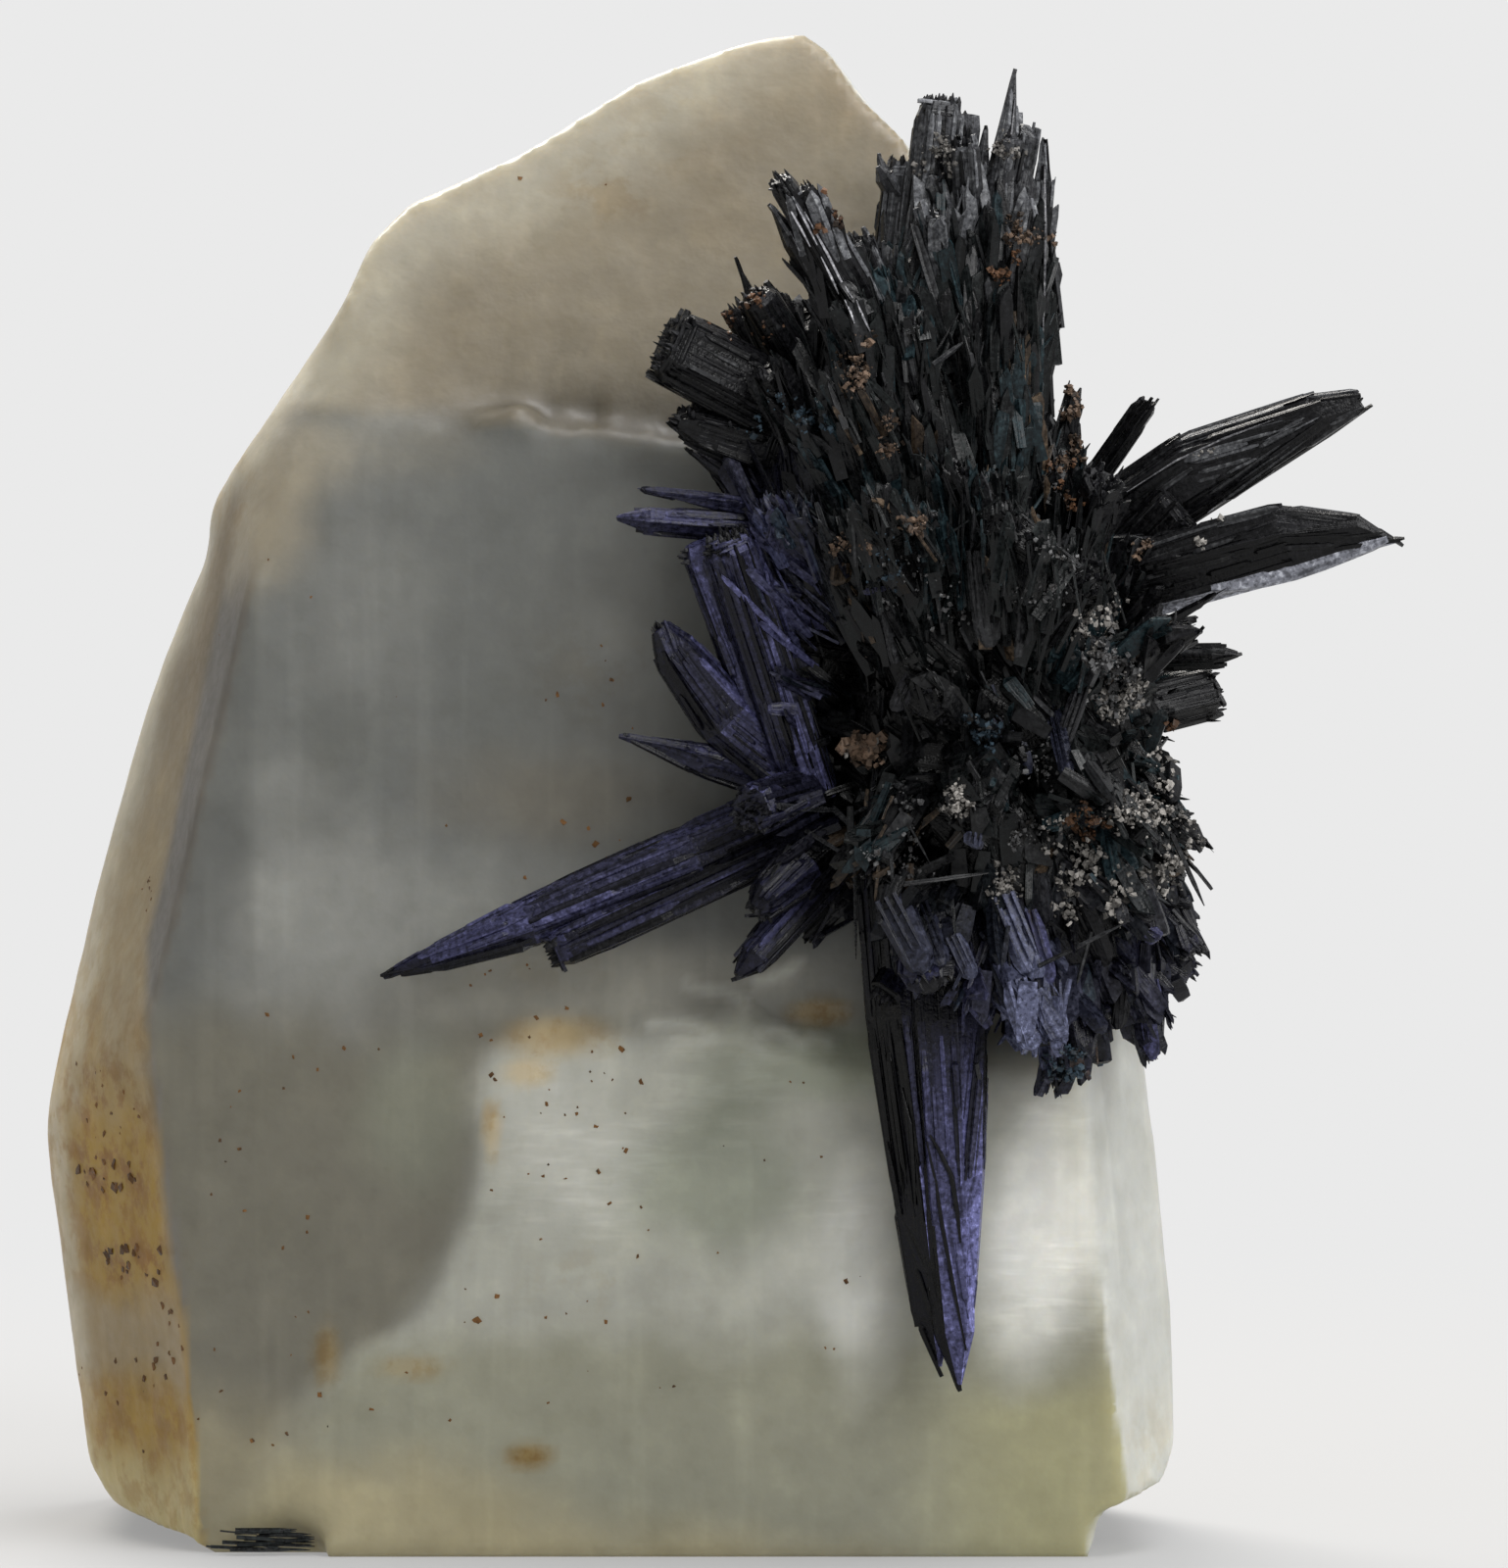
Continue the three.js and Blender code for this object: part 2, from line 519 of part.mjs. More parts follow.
const stone = orthoclase();
const specimen = new THREE.Group();
specimen.add(
  mesh("orthoclase_crystal", stone, { color: 0x8f8a78, roughness: 0.45, metalness: 0 }),
  mesh("aegirine_spray", aegirine(stone), { color: 0x17171c, roughness: 0.35, metalness: 0 }),
  mesh("aegirine_needles", looseNeedles(), { color: 0x17171c, roughness: 0.4, metalness: 0 }),
);

export default specimen;
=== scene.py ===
"""Looks of the specimen: milky orthoclase with a spray of black aegirine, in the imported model's frame."""

import math

import bpy
import numpy as np
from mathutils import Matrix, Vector
from mathutils.bvhtree import BVHTree


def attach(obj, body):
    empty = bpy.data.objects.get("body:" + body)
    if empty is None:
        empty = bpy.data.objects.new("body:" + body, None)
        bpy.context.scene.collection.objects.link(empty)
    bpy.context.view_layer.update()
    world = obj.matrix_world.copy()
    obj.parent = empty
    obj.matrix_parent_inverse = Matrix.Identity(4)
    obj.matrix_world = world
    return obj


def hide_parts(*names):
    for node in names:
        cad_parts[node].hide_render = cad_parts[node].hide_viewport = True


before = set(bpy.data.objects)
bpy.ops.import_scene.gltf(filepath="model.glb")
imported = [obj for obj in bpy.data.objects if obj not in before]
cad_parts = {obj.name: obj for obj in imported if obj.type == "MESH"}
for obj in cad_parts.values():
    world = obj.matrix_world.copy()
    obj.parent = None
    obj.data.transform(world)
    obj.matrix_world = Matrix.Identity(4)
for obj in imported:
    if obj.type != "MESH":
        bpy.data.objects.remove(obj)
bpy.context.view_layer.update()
MM = 0.001

# Photograph: millimetres for each pixel, the pixel that the model's x = 0, z = 0 falls on, its height
PIXEL = 0.04
PIXEL_X, PIXEL_Z = 732, 1585
PHOTO_HEIGHT = 1600


# The lens: the point it looks at, how far off it stands (both in millimetres), its height above level
# in radians, and the height of its picture in millimetres
AIM = np.array([1.5, -5.0, 31.4])
LENS_DISTANCE = 620
LENS_RISE = math.radians(3.0)
SENSOR = 36
EYE = AIM + LENS_DISTANCE * np.array([0, -math.cos(LENS_RISE), math.sin(LENS_RISE)])


def from_photo(px, py):
    """x and z in millimetres of a pixel of the photograph."""
    return (px - PIXEL_X) * PIXEL, (PIXEL_Z - py) * PIXEL


def seen_on(surface, px, py):
    """The point of a surface that a pixel of the photograph shows, or none."""
    x, z = from_photo(px, py)
    across, rise = x - AIM[0], z - AIM[2]
    point = AIM + (across, rise * math.sin(LENS_RISE), rise * math.cos(LENS_RISE))
    hit = surface.ray_cast(Vector(EYE), Vector(point - EYE).normalized())[0]
    return None if hit is None else np.array(hit)


def scrambled(cell, seed):
    """A fixed random number from -1 to 1 for each whole-numbered cell."""
    h = (cell[:, 0] * 374761393 + cell[:, 1] * 668265263 + cell[:, 2] * 362437 + seed * 974711) & 0xFFFFFFFF
    h = ((h ^ (h >> 13)) * 1274126177) & 0xFFFFFFFF
    h = ((h ^ (h >> 15)) * 2246822519) & 0xFFFFFFFF
    return (h ^ (h >> 16)) / 2**31 - 1


def noise(points, size, seed=0):
    """Smooth noise from -1 to 1 at points in millimetres, with lumps of one size or of three."""
    p = points / np.asarray(size, float)
    cell = np.floor(p).astype(np.int64)
    f = p - cell
    f = f * f * (3 - 2 * f)
    total = np.zeros(len(points))
    for corner in range(8):
        step = np.array([corner & 1, corner >> 1 & 1, corner >> 2 & 1])
        total += scrambled(cell + step, seed) * np.prod(np.where(step, f, 1 - f), axis=1)
    return total


def facets(points, size, seed):
    """Flat, tilted patches with steps between them, about -1 to 1, laid out in x and z."""
    p = points * (1, 0, 1) / size
    home = np.floor(p).astype(np.int64)
    nearest = np.full(len(p), np.inf)
    height = np.zeros(len(p))
    for step in [(i, 0, k) for i in (-1, 0, 1) for k in (-1, 0, 1)]:
        cell = home + step
        rel_x = p[:, 0] - cell[:, 0] - 0.5 - 0.5 * scrambled(cell, seed)
        rel_z = p[:, 2] - cell[:, 2] - 0.5 - 0.5 * scrambled(cell, seed + 100)
        away = rel_x**2 + rel_z**2
        level = 0.5 * scrambled(cell, seed + 200)
        level = level + scrambled(cell, seed + 300) * rel_x + scrambled(cell, seed + 400) * rel_z
        height = np.where(away < nearest, level, height)
        nearest = np.minimum(nearest, away)
    return height


def smooth(x, low, high):
    """0 below low, 1 above high, and a soft step between."""
    t = np.clip((x - low) / (high - low), 0, 1)
    return t * t * (3 - 2 * t)


def under(x, low, high):
    """1 below low, 0 above high, and a soft step between."""
    return smooth(-x, -high, -low)


def band(x, start, full, fade, end):
    """1 from full to fade, 0 before start and past end, and soft steps between."""
    return smooth(x, start, full) * under(x, fade, end)


def oval(x, z, px, py, wide, high):
    """How far points lie from the middle of an oval given in photo pixels: 1 on its rim."""
    middle_x, middle_z = from_photo(px, py)
    return np.hypot((x - middle_x) / (wide * PIXEL), (z - middle_z) / (high * PIXEL))


def unit(v):
    """Vectors made one long."""
    return v / np.linalg.norm(v, axis=-1, keepdims=True)


def linear(r, g, b):
    """A display colour, 0 to 255, as linear light."""
    c = np.array([r, g, b]) / 255
    return np.where(c <= 0.04045, c / 12.92, ((c + 0.055) / 1.055) ** 2.4)


def placed(name, data):
    """A new object in the scene."""
    made = bpy.data.objects.new(name, data)
    bpy.context.scene.collection.objects.link(made)
    return made


def new_piece(name, verts, faces, material):
    """A mesh piece from points in millimetres that rides on the specimen."""
    mesh = bpy.data.meshes.new(name)
    mesh.from_pydata((np.asarray(verts) * MM).tolist(), [], faces)
    mesh.materials.append(material)
    piece = placed(name, mesh)
    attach(piece, "root")
    return piece


def rows(items, key, width, kind=float):
    """One property of all points, edges or triangles of a mesh, a row for each."""
    values = np.empty(len(items) * width, dtype=kind)
    items.foreach_get(key, values)
    return values.reshape(-1, width)


def colour_layer(mesh, name, domain, tones):
    """Writes a tone for each point or corner of a mesh."""
    layer = mesh.color_attributes.new(name, "FLOAT_COLOR", domain)
    values = np.hstack([tones, np.ones((len(tones), 1))])
    layer.data.foreach_set("color", values.astype(np.float32).ravel())


JOIN = 2000  # points that round to the same place at this many steps to the millimetre are one


def node_mesh(name):
    """Points (millimetres) and triangles of a CAD node, with equal points joined."""
    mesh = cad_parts[name].data
    mesh.calc_loop_triangles()
    co = rows(mesh.vertices, "co", 3) / MM
    tris = rows(mesh.loop_triangles, "vertices", 3, np.int64)
    keys, index = np.unique(np.round(co * JOIN).astype(np.int64), axis=0, return_inverse=True)
    index = index.reshape(-1)
    points = np.zeros((len(keys), 3))
    points[index] = co
    tris = index[tris]
    return points, tris[(tris != np.roll(tris, 1, axis=1)).all(axis=1)]


# Materials


class Nodes:
    """Short hand for building a node material."""

    def __init__(self, name):
        self.material = bpy.data.materials.new(name)
        self.material.use_nodes = True
        self.tree = self.material.node_tree
        self.shader = self.tree.nodes["Principled BSDF"]

    def put(self, socket, value):
        if hasattr(value, "links"):
            self.tree.links.new(value, socket)
        else:
            socket.default_value = value

    def add(self, kind, inputs=(), **settings):
        node = self.tree.nodes.new(kind)
        for key, value in settings.items():
            setattr(node, key, value)
        for key, value in dict(inputs).items():
            self.put(node.inputs[key], value)
        return node

    def place(self):
        return self.add("ShaderNodeTexCoord").outputs["Object"]

    def painted(self, name):
        return self.add("ShaderNodeAttribute", attribute_name=name).outputs["Color"]

    def mix(self, a, b, factor, blend="MIX"):
        # Sockets 6, 7 and 2 of this node are those for colours
        inputs = {0: factor, 6: a, 7: b}
        return self.add("ShaderNodeMix", inputs, data_type="RGBA", blend_type=blend).outputs[2]

    def scaled(self, tone, factors, mask):
        """A tone times red, green and blue factors where the mask is 1."""
        return self.mix(tone, (*factors, 1), mask, "MULTIPLY")

    def math(self, operation, a, b):
        return self.add("ShaderNodeMath", {0: a, 1: b}, operation=operation).outputs[0]

    def plus(self, a, b):
        return self.math("ADD", a, b)

    def times(self, a, b):
        return self.math("MULTIPLY", a, b)

    def ramp(self, value, low, high, to_low=0.0, to_high=1.0):
        inputs = dict(enumerate((value, low, high, to_low, to_high)))
        return self.add("ShaderNodeMapRange", inputs, interpolation_type="SMOOTHSTEP").outputs[0]

    def noise(self, place, scale, detail, roughness=0.55):
        inputs = {"Vector": place, "Scale": scale, "Detail": detail, "Roughness": roughness}
        return self.add("ShaderNodeTexNoise", inputs).outputs[0]

    def stretched(self, place, x, y, z):
        return self.add("ShaderNodeMapping", {"Vector": place, "Scale": (x, y, z)}).outputs[0]

    def bump(self, height, distance, strength):
        inputs = {"Height": height, "Distance": distance, "Strength": strength}
        return self.add("ShaderNodeBump", inputs).outputs[0]

    def set(self, **inputs):
        for key, value in inputs.items():
            self.put(self.shader.inputs[key.replace("_", " ")], value)


def orthoclase_material():
    """Milky feldspar: painted tone, cloudy mottling, silky streaks of painted lustre, light that sinks in.
    """
    n = Nodes("orthoclase")
    place = n.place()
    masks = n.add("ShaderNodeSeparateColor", {"Color": n.painted("masks")})
    stained, silky, rough = masks.outputs[0], masks.outputs[1], masks.outputs[2]
    cloud = n.noise(place, 140, 3)
    tone = n.scaled(n.painted("paint"), (1.16, 1.16, 1.15), n.ramp(cloud, 0.5, 0.75))
    tone = n.scaled(tone, (0.86, 0.86, 0.84), n.ramp(cloud, 0.48, 0.25))
    streak = n.noise(n.stretched(place, 900, 900, 60), 1.0, 2)
    plain = n.math("SUBTRACT", 1.0, silky)
    tone = n.scaled(tone, (1.12, 1.12, 1.12), n.times(n.ramp(streak, 0.5, 0.78), plain))
    # Painted lustre: silky streaks lighten the proud face
    silk = n.noise(n.stretched(place, 430, 430, 2300), 1.0, 2)
    tone = n.scaled(tone, (1.14, 1.14, 1.15), n.times(n.ramp(silk, 0.42, 0.75), silky))
    fine = n.noise(place, 620, 3, 0.6)
    tone = n.scaled(tone, (1.09, 1.09, 1.08), n.ramp(fine, 0.5, 0.7))
    tone = n.scaled(tone, (0.92, 0.92, 0.91), n.ramp(fine, 0.5, 0.3))
    # Iron stain gathers in blotches and fine dots
    blotch = n.noise(place, 700, 4, 0.65)
    tone = n.scaled(tone, (0.72, 0.54, 0.27), n.times(n.ramp(blotch, 0.44, 0.62), stained))
    grain = n.noise(place, 1800, 2)
    height = n.plus(n.times(grain, 0.22), n.times(n.times(silk, silky), 0.3))
    height = n.plus(height, n.times(n.times(grain, rough), 1.6))
    n.set(Base_Color=tone, Normal=n.bump(height, distance=0.00012, strength=0.7))
    n.set(Roughness=n.plus(n.ramp(grain, 0.3, 0.7, 0.38, 0.52), n.times(rough, 0.12)))
    n.set(Subsurface_Weight=0.6, Subsurface_Radius=(1.0, 0.82, 0.55), Subsurface_Scale=0.0034)
    n.set(IOR=1.52, Specular_IOR_Level=0.33)
    return n.material


def aegirine_material(name, fine):
    """Near-black crystal: striations along it and a sparkle of small faces over its own tone."""
    n = Nodes(name)
    along = n.add("ShaderNodeUVMap", uv_map="grain").outputs[0]
    lines = n.noise(n.stretched(along, 0.10, 3.0, 1.0), 1.0, 3, 0.6)
    tone = n.scaled(n.painted("tint"), (0.4, 0.4, 0.4), n.ramp(lines, 0.52, 0.34))
    tone = n.mix(tone, (0.006, 0.006, 0.008, 1), n.ramp(lines, 0.56, 0.80), "ADD")
    flecks = n.noise(n.place(), 4200, 2, 0.7)
    tone = n.scaled(tone, (0.45, 0.45, 0.45), n.ramp(flecks, 0.50, 0.36))
    tone = n.scaled(tone, (2.2, 2.2, 2.1), n.ramp(flecks, 0.54, 0.68))
    height = n.plus(lines, n.times(flecks, 0.35 * fine))
    n.set(Base_Color=tone, Normal=n.bump(height, distance=0.00016 * fine, strength=0.85))
    shine = n.plus(n.times(flecks, 0.6), n.times(lines, 0.4))
    n.set(Roughness=n.ramp(shine, 0.35, 0.65, 0.16, 0.46), IOR=1.7, Specular_IOR_Level=0.12)
    return n.material


def grain_material():
    """Small pale, tan and rusty grains."""
    n = Nodes("grains")
    fleck = n.noise(n.place(), 3000, 2, 0.7)
    tone = n.mix(n.painted("tint"), (0.02, 0.016, 0.013, 1), n.ramp(fleck, 0.5, 0.32, 0, 0.8))
    n.set(Base_Color=tone, Normal=n.bump(fleck, distance=0.00008, strength=0.8))
    n.set(Roughness=n.ramp(fleck, 0.3, 0.7, 0.35, 0.65), Specular_IOR_Level=0.2)
    return n.material


# The orthoclase

VOXEL = 0.36  # millimetres
LEDGE = 46.2  # height of the ledge's lip
GREY_BAND = 8.5  # height of the grey band on the stained side
REST_BAND = 0.3  # points under this height keep it, so that the base stays flat


def remeshed(name):
    """An even mesh over a CAD node, and its points in millimetres."""
    points, tris = node_mesh(name)
    mesh = bpy.data.meshes.new("remesh")
    mesh.from_pydata((points * MM).tolist(), [], tris.tolist())
    source = placed("remesh", mesh)
    modifier = source.modifiers.new("even", "REMESH")
    modifier.mode = "VOXEL"
    modifier.voxel_size = VOXEL * MM
    bpy.context.view_layer.update()
    even = bpy.data.meshes.new_from_object(source.evaluated_get(bpy.context.evaluated_depsgraph_get()))
    bpy.data.objects.remove(source)
    bpy.data.meshes.remove(mesh)
    return even, rows(even.vertices, "co", 3) / MM


# Tones of the orthoclase as displayed, each with a factor that allows for the light on its side
TOP = 0.55 * linear(150, 139, 117)
# TOP_PALE is painted light: the glow of thin edges that light shines through
TOP_PALE = 0.68 * linear(180, 174, 156)
TOP_YELLOW = 0.56 * linear(156, 138, 106)
FRONT = 0.92 * linear(105, 106, 102)
# FRONT_PALE is painted light and FRONT_DARK painted shadow, both laid on the front in patches
FRONT_PALE = 1.1 * linear(127, 127, 122)
FRONT_DARK = linear(95, 94, 88)
FRONT_WARM = 1.1 * linear(106, 99, 84)
FRONT_LOW = 1.55 * linear(114, 112, 103)
SHOULDER = 1.35 * linear(140, 131, 112)
BAND = 0.73 * linear(114, 110, 103)
BAND_LOW = 1.05 * linear(112, 109, 102)
LEFT_HIGH = 0.52 * linear(156, 140, 112)
LEFT_MID = 0.98 * linear(141, 127, 98)
LEFT_TAN = 1.22 * linear(136, 108, 34)
LEFT_GREY = 1.12 * linear(136, 122, 96)
LEFT_LOW = 2.05 * linear(138, 129, 95)
LOWER_LEFT = linear(109, 106, 94)
# PROUD, PROUD_PALE and PROUD_WHITE are painted reflection: the lamp's glare on the proud lower face
PROUD = 1.1 * linear(152, 152, 142)
PROUD_PALE = 1.02 * linear(180, 180, 171)
PROUD_WHITE = 0.96 * linear(226, 226, 220)
PROUD_GREEN = 0.95 * linear(124, 128, 112)
FOOT = linear(136, 135, 117)
FOOT_YELLOW = 1.1 * linear(158, 154, 116)
FOOT_CREAM = 1.2 * linear(150, 142, 114)
# RIGHT is painted light: the right side faces the lamp
RIGHT = linear(192, 193, 188)
STAIN = linear(150, 126, 74)
BACK = 0.7 * linear(148, 138, 118)

# Outline of the stone seen from the front (x and z) and where its stained left side ends (z and x),
# in millimetres
OUTLINE = np.array([
    (-20.6, 0), (-23.6, 0.8), (-25.5, 1.2), (-26.0, 5.4), (-27.4, 15.6), (-27.4, 17.4), (-25.2, 27.4),
    (-23.4, 34.6), (-21.8, 39), (-20.8, 42.8), (-17.2, 48), (-14.2, 53.4), (-12.7, 54.9), (-8, 57),
    (-3.2, 60), (1.2, 61.6), (3.5, 62), (4.6, 61.2), (7.8, 57.4), (12.4, 48), (15.4, 38), (17, 24),
    (18.6, 9.8), (18.7, 4.2), (15.2, 0), (-20.6, 0),
])
LEFT_EDGE = np.array([
    (1.4, -20.9), (5.4, -21.3), (9.4, -21.9), (13.4, -22.5), (17.4, -22.9), (21.4, -23.3), (27.4, -23.3),
    (31.4, -22.7), (35.4, -22.1), (39.4, -21.3), (42.6, -19.9),
])

# Left edge of the pale lower front, where the painted reflection of the lamp ends: z and x, in millimetres
PALE_EDGE = np.array([
    (0.2, -20.3), (1.0, -19.9), (3.4, -18.1), (5.5, -17.0), (7.4, -15.7), (9.8, -12.5), (11.4, -11.3),
    (13.0, -10.7), (15.4, -9.8), (17.8, -9.4), (22.0, -9.2),
])

# Soft patches on the front: middle in photo pixels, half width and half height in pixels, tone and strength
# Most patches are painted light and shade: the lamp's reflection, light over the spray's shadow, its
# painted shadow
PATCHES = [
    (345, 955, 125, 130, FRONT_PALE * 1.12, 0.8),
    (365, 615, 90, 140, FRONT_PALE, 0.35),
    (300, 800, 60, 55, FRONT_PALE, 0.45),
    (640, 690, 56, 170, FRONT_PALE, 0.3),
    (520, 925, 150, 76, FRONT_PALE * 1.1, 0.5),
    (600, 670, 90, 110, FRONT_DARK, 0.3),
    (560, 810, 130, 60, FRONT_WARM, 0.5),
    (300, 465, 75, 50, SHOULDER, 0.45),
    (400, 450, 110, 40, SHOULDER * 0.7, 0.2),
    (600, 1000, 240, 50, FRONT_LOW, 0.75),
    (420, 1130, 70, 90, PROUD_GREEN, 0.4),
    (555, 1110, 76, 60, PROUD_PALE, 0.75),
    (572, 1056, 60, 24, STAIN * 1.7, 0.45),
    (538, 1090, 30, 16, STAIN * 1.9, 0.4),
    (503, 1148, 10, 30, STAIN * 1.7, 0.5),
    (835, 1030, 30, 14, STAIN * 0.9, 0.6),
    (850, 1080, 60, 36, PROUD_GREEN * 1.5, 0.7),
    (690, 1090, 90, 34, PROUD_PALE, 0.15),
    (880, 1290, 44, 130, PROUD_WHITE, 0.65),
    (625, 1080, 44, 36, PROUD_PALE, 0.6),
    (750, 1095, 60, 56, PROUD_GREEN * 1.05, 0.6),
    (580, 1180, 80, 70, PROUD_PALE, 0.8),
    (830, 1280, 90, 46, PROUD_PALE, 0.55),
    (735, 1210, 90, 90, PROUD_GREEN, 0.7),
    (1060, 1235, 76, 150, PROUD_WHITE, 0.95),
    (540, 1480, 27, 17, STAIN * 0.72, 1.0),
    (340, 1535, 60, 36, FOOT_CREAM * 1.3, 0.35),
    (420, 1390, 34, 12, STAIN, 0.35),
    (335, 1380, 16, 34, STAIN * 0.75, 0.6),
]

# Where iron stain gathers on the front: middle in photo pixels, half width, half height and strength
STAINS = [
    (575, 1055, 70, 28, 0.45), (536, 1088, 36, 18, 0.4), (503, 1148, 10, 34, 0.5),
    (835, 1030, 36, 16, 0.8), (540, 1480, 24, 15, 0.9), (105, 1205, 60, 34, 0.5),
    (138, 1295, 50, 30, 0.5), (95, 1120, 50, 40, 0.35), (420, 1390, 44, 16, 0.4),
    (335, 1380, 20, 44, 0.5), (610, 690, 60, 60, 0.18), (620, 195, 60, 40, 0.35),
    (700, 130, 100, 60, 0.15), (230, 500, 30, 60, 0.35), (560, 960, 120, 50, 0.15),
    (1180, 1480, 40, 60, 0.2), (600, 1300, 60, 40, 0.15),
]


# Rims of small shell-like chips, in photo pixels
CHIPS = [
    [(777, 1049), (786, 1046), (794, 1047), (803, 1051), (811, 1056), (817, 1060), (822, 1057),
     (830, 1054), (839, 1055), (846, 1059)],
    [(703, 1000), (713, 1005), (724, 1007), (738, 1008), (750, 1011), (760, 1018)],
    [(664, 1041), (676, 1039), (688, 1040), (700, 1039), (708, 1041)],
    [(716, 1046), (724, 1050), (730, 1057)],
    [(772, 998), (783, 996), (795, 990), (806, 986), (814, 979)],
    [(690, 1058), (704, 1060), (718, 1059)],
]


def distance_to(line, x, z):
    """How far points lie from a line of x and z corners, in millimetres."""
    best = np.full(len(x), 99.0)
    for (ax, az), (bx, bz) in zip(line[:-1], line[1:]):
        dx, dz = bx - ax, bz - az
        t = np.clip(((x - ax) * dx + (z - az) * dz) / (dx * dx + dz * dz), 0, 1)
        best = np.minimum(best, np.hypot(x - ax - t * dx, z - az - t * dz))
    return best


def paint_orthoclase(p, normal):
    """Tone of each point of the orthoclase, and its masks: iron stain, silk and roughness."""
    x, y, z = p.T
    nx, ny, nz = normal.T
    wander = 0.8 * noise(p, 4, 1) + 0.4 * noise(p, 1.5, 2) + 0.25 * noise(p, 0.8, 4)
    tone = np.tile(BACK, (len(p), 1))

    def lay(over, mask):
        tone[:] += (over - tone) * mask[:, None]

    # The front; low down, the step left of the proud face looks like the front that it leads to
    step = smooth(x, -19.5, -18.5) * under(z, 5, 9) * under(y, -4, -2)
    front_side = np.maximum(under(ny, -0.5, -0.1), step)
    lay(FRONT, front_side)
    proud = under(y, -8.4, -7.5) * front_side
    lay(LOWER_LEFT, under(z - wander, 20.5, 24.5) * (1 - proud) * front_side)
    pale_edge = np.interp(z, *PALE_EDGE.T)
    soft = 0.7 + 0.9 * under(z, 6, 11)
    pale = smooth((x - pale_edge + 0.25 * wander) / soft, -1, 1) * front_side
    # Painted reflection: the proud face and the pale lower front are painted pale for the lamp's glare
    lay(PROUD, np.maximum(proud, pale * under(z - 0.3 * wander, 20, 21.5)))
    lay(FOOT, 0.85 * under(z - wander, 8, 10.5) * pale)
    lay(FOOT_YELLOW, 0.7 * under(z - 0.6 * wander, 5.5, 8.6) * front_side * smooth(x, 6, 14))
    foot = 0.55 * front_side + 0.45 * pale
    lay(FOOT_CREAM, 0.9 * under(z + 0.25 * x - wander, -1.5, 2.5) * foot)
    # Painted reflection, painted light and shadow, and iron stain, laid in soft patches
    for px, py, wide, high, over, strength in PATCHES:
        away = oval(x, z, px, py, wide, high) + 0.3 * wander
        lay(over, strength * under(away, 0.3, 1.3) * front_side)

    # The top
    top = smooth(z + 0.05 * x, 45.4, 46.6) * smooth(nz, 0.1, 0.35)
    lay(TOP, top)
    lay(TOP_YELLOW, top * smooth(noise(p, 5, 3), 0.0, 0.6) * 0.7)
    lay(TOP * 0.56, top * under(z, 46.5, 51) * smooth(x, -13, -6) * 0.9)

    # The left side: a grey band, then the stained face
    edge = np.interp(z, *LEFT_EDGE.T)
    side = under(nx, -0.6, -0.3) * under(y, 4, 14) * (1 - step)
    lay(BAND, side * (1 - 0.7 * smooth(z, 39, 43)))
    lay(BAND_LOW, side * under(z, 19, 27))
    shoulder = np.hypot((x + 19.2) / 2.6, (z - 42.8) / 3.4)
    lay(SHOULDER, 0.8 * under(shoulder - 0.25 * wander, 0.2, 1.4))
    left = np.maximum(smooth(edge - x + 0.2 * wander, -0.35, 0.35), smooth(y, -5, -3.5)) * side
    from_band = np.abs(z - GREY_BAND)
    lay(LEFT_HIGH, left)
    lay(LEFT_MID, left * under(z - 2 * wander, 26, 36))
    lay(LEFT_TAN, left * under(z - 3 * wander, 15, 24))
    lay(LEFT_GREY, left * under(from_band - wander, 0.5, 3) * 0.8)
    lay(LEFT_LOW, left * under(z - 1.5 * wander, 2, 6) * 0.8)

    # Chips, painted shade on the ledge, and the painted light and shade of a low ridge down the left of the
    # front
    lay(PROUD_PALE, 0.5 * chip_rim(x, z) * front_side)
    # Painted shade: the lip of the ledge is darkened, and its tread, lit from above, takes the darker tone
    # of the top
    lip = np.exp(-((z - LEDGE) / 0.8) ** 2) * smooth(x, -14, -9) * under(y, -2, 0)
    tread = smooth(nz, 0.25, 0.6) * band(z, 43.6, 44.4, 46.6, 47.4) * smooth(x, -13, -8) * under(y, -2, 0)
    lay(TOP * 0.5, 0.85 * tread)
    tone *= (1 - 0.32 * lip * (1 - tread))[:, None]
    # Painted light and shade: lighter right of the ridge line, darker left of it
    ridge = (2 * smooth(x, -18.95, -18.6) - 1) * np.exp(-((x + 18.8) / 1.6) ** 2)
    tone *= (1 + 0.07 * ridge * front_side * band(z, 24, 26, 38, 41))[:, None]
    # Painted light: the right side is painted pale where it faces the lamp
    lay(RIGHT, smooth(nx, 0.5, 0.8) * under(y, 4, 12) * 0.85)

    # Painted light: thin edges are painted paler, for the light that shines through them
    rim = distance_to(OUTLINE, x, z) + 0.35 * wander
    seen = np.maximum(front_side, side)
    lay(TOP_PALE, top * under(rim, 0.3, 4.5) * under(x, -2, 6) * 0.9)
    lay(TOP_PALE, (1 - top) * under(rim, 0, 1.5) * seen * smooth(z, 24, 30) * under(x, -14, -10) * 0.55)
    lay(TOP_PALE * 1.6, 0.6 * under(rim, -0.1, 0.9) * seen * under(x, -15, -12) * smooth(z, 3, 8))
    lay(STAIN * 0.6, smooth(noise(p, 9, 5) + 0.4 * wander, 0.45, 0.9) * 0.5 * smooth(y, 6, 12))

    rough = smooth(ny, 0.25, 0.6)
    stained = 0.55 * left * under(z, 16, 34) * smooth(from_band, 0.5, 3)
    stained = stained + 0.25 * rough * smooth(noise(p, 7, 6), 0.1, 0.6)
    for px, py, wide, high, strength in STAINS:
        away = oval(x, z, px, py, wide, high) + 0.3 * wander
        stained = stained + strength * under(away, 0.4, 1.3) * seen
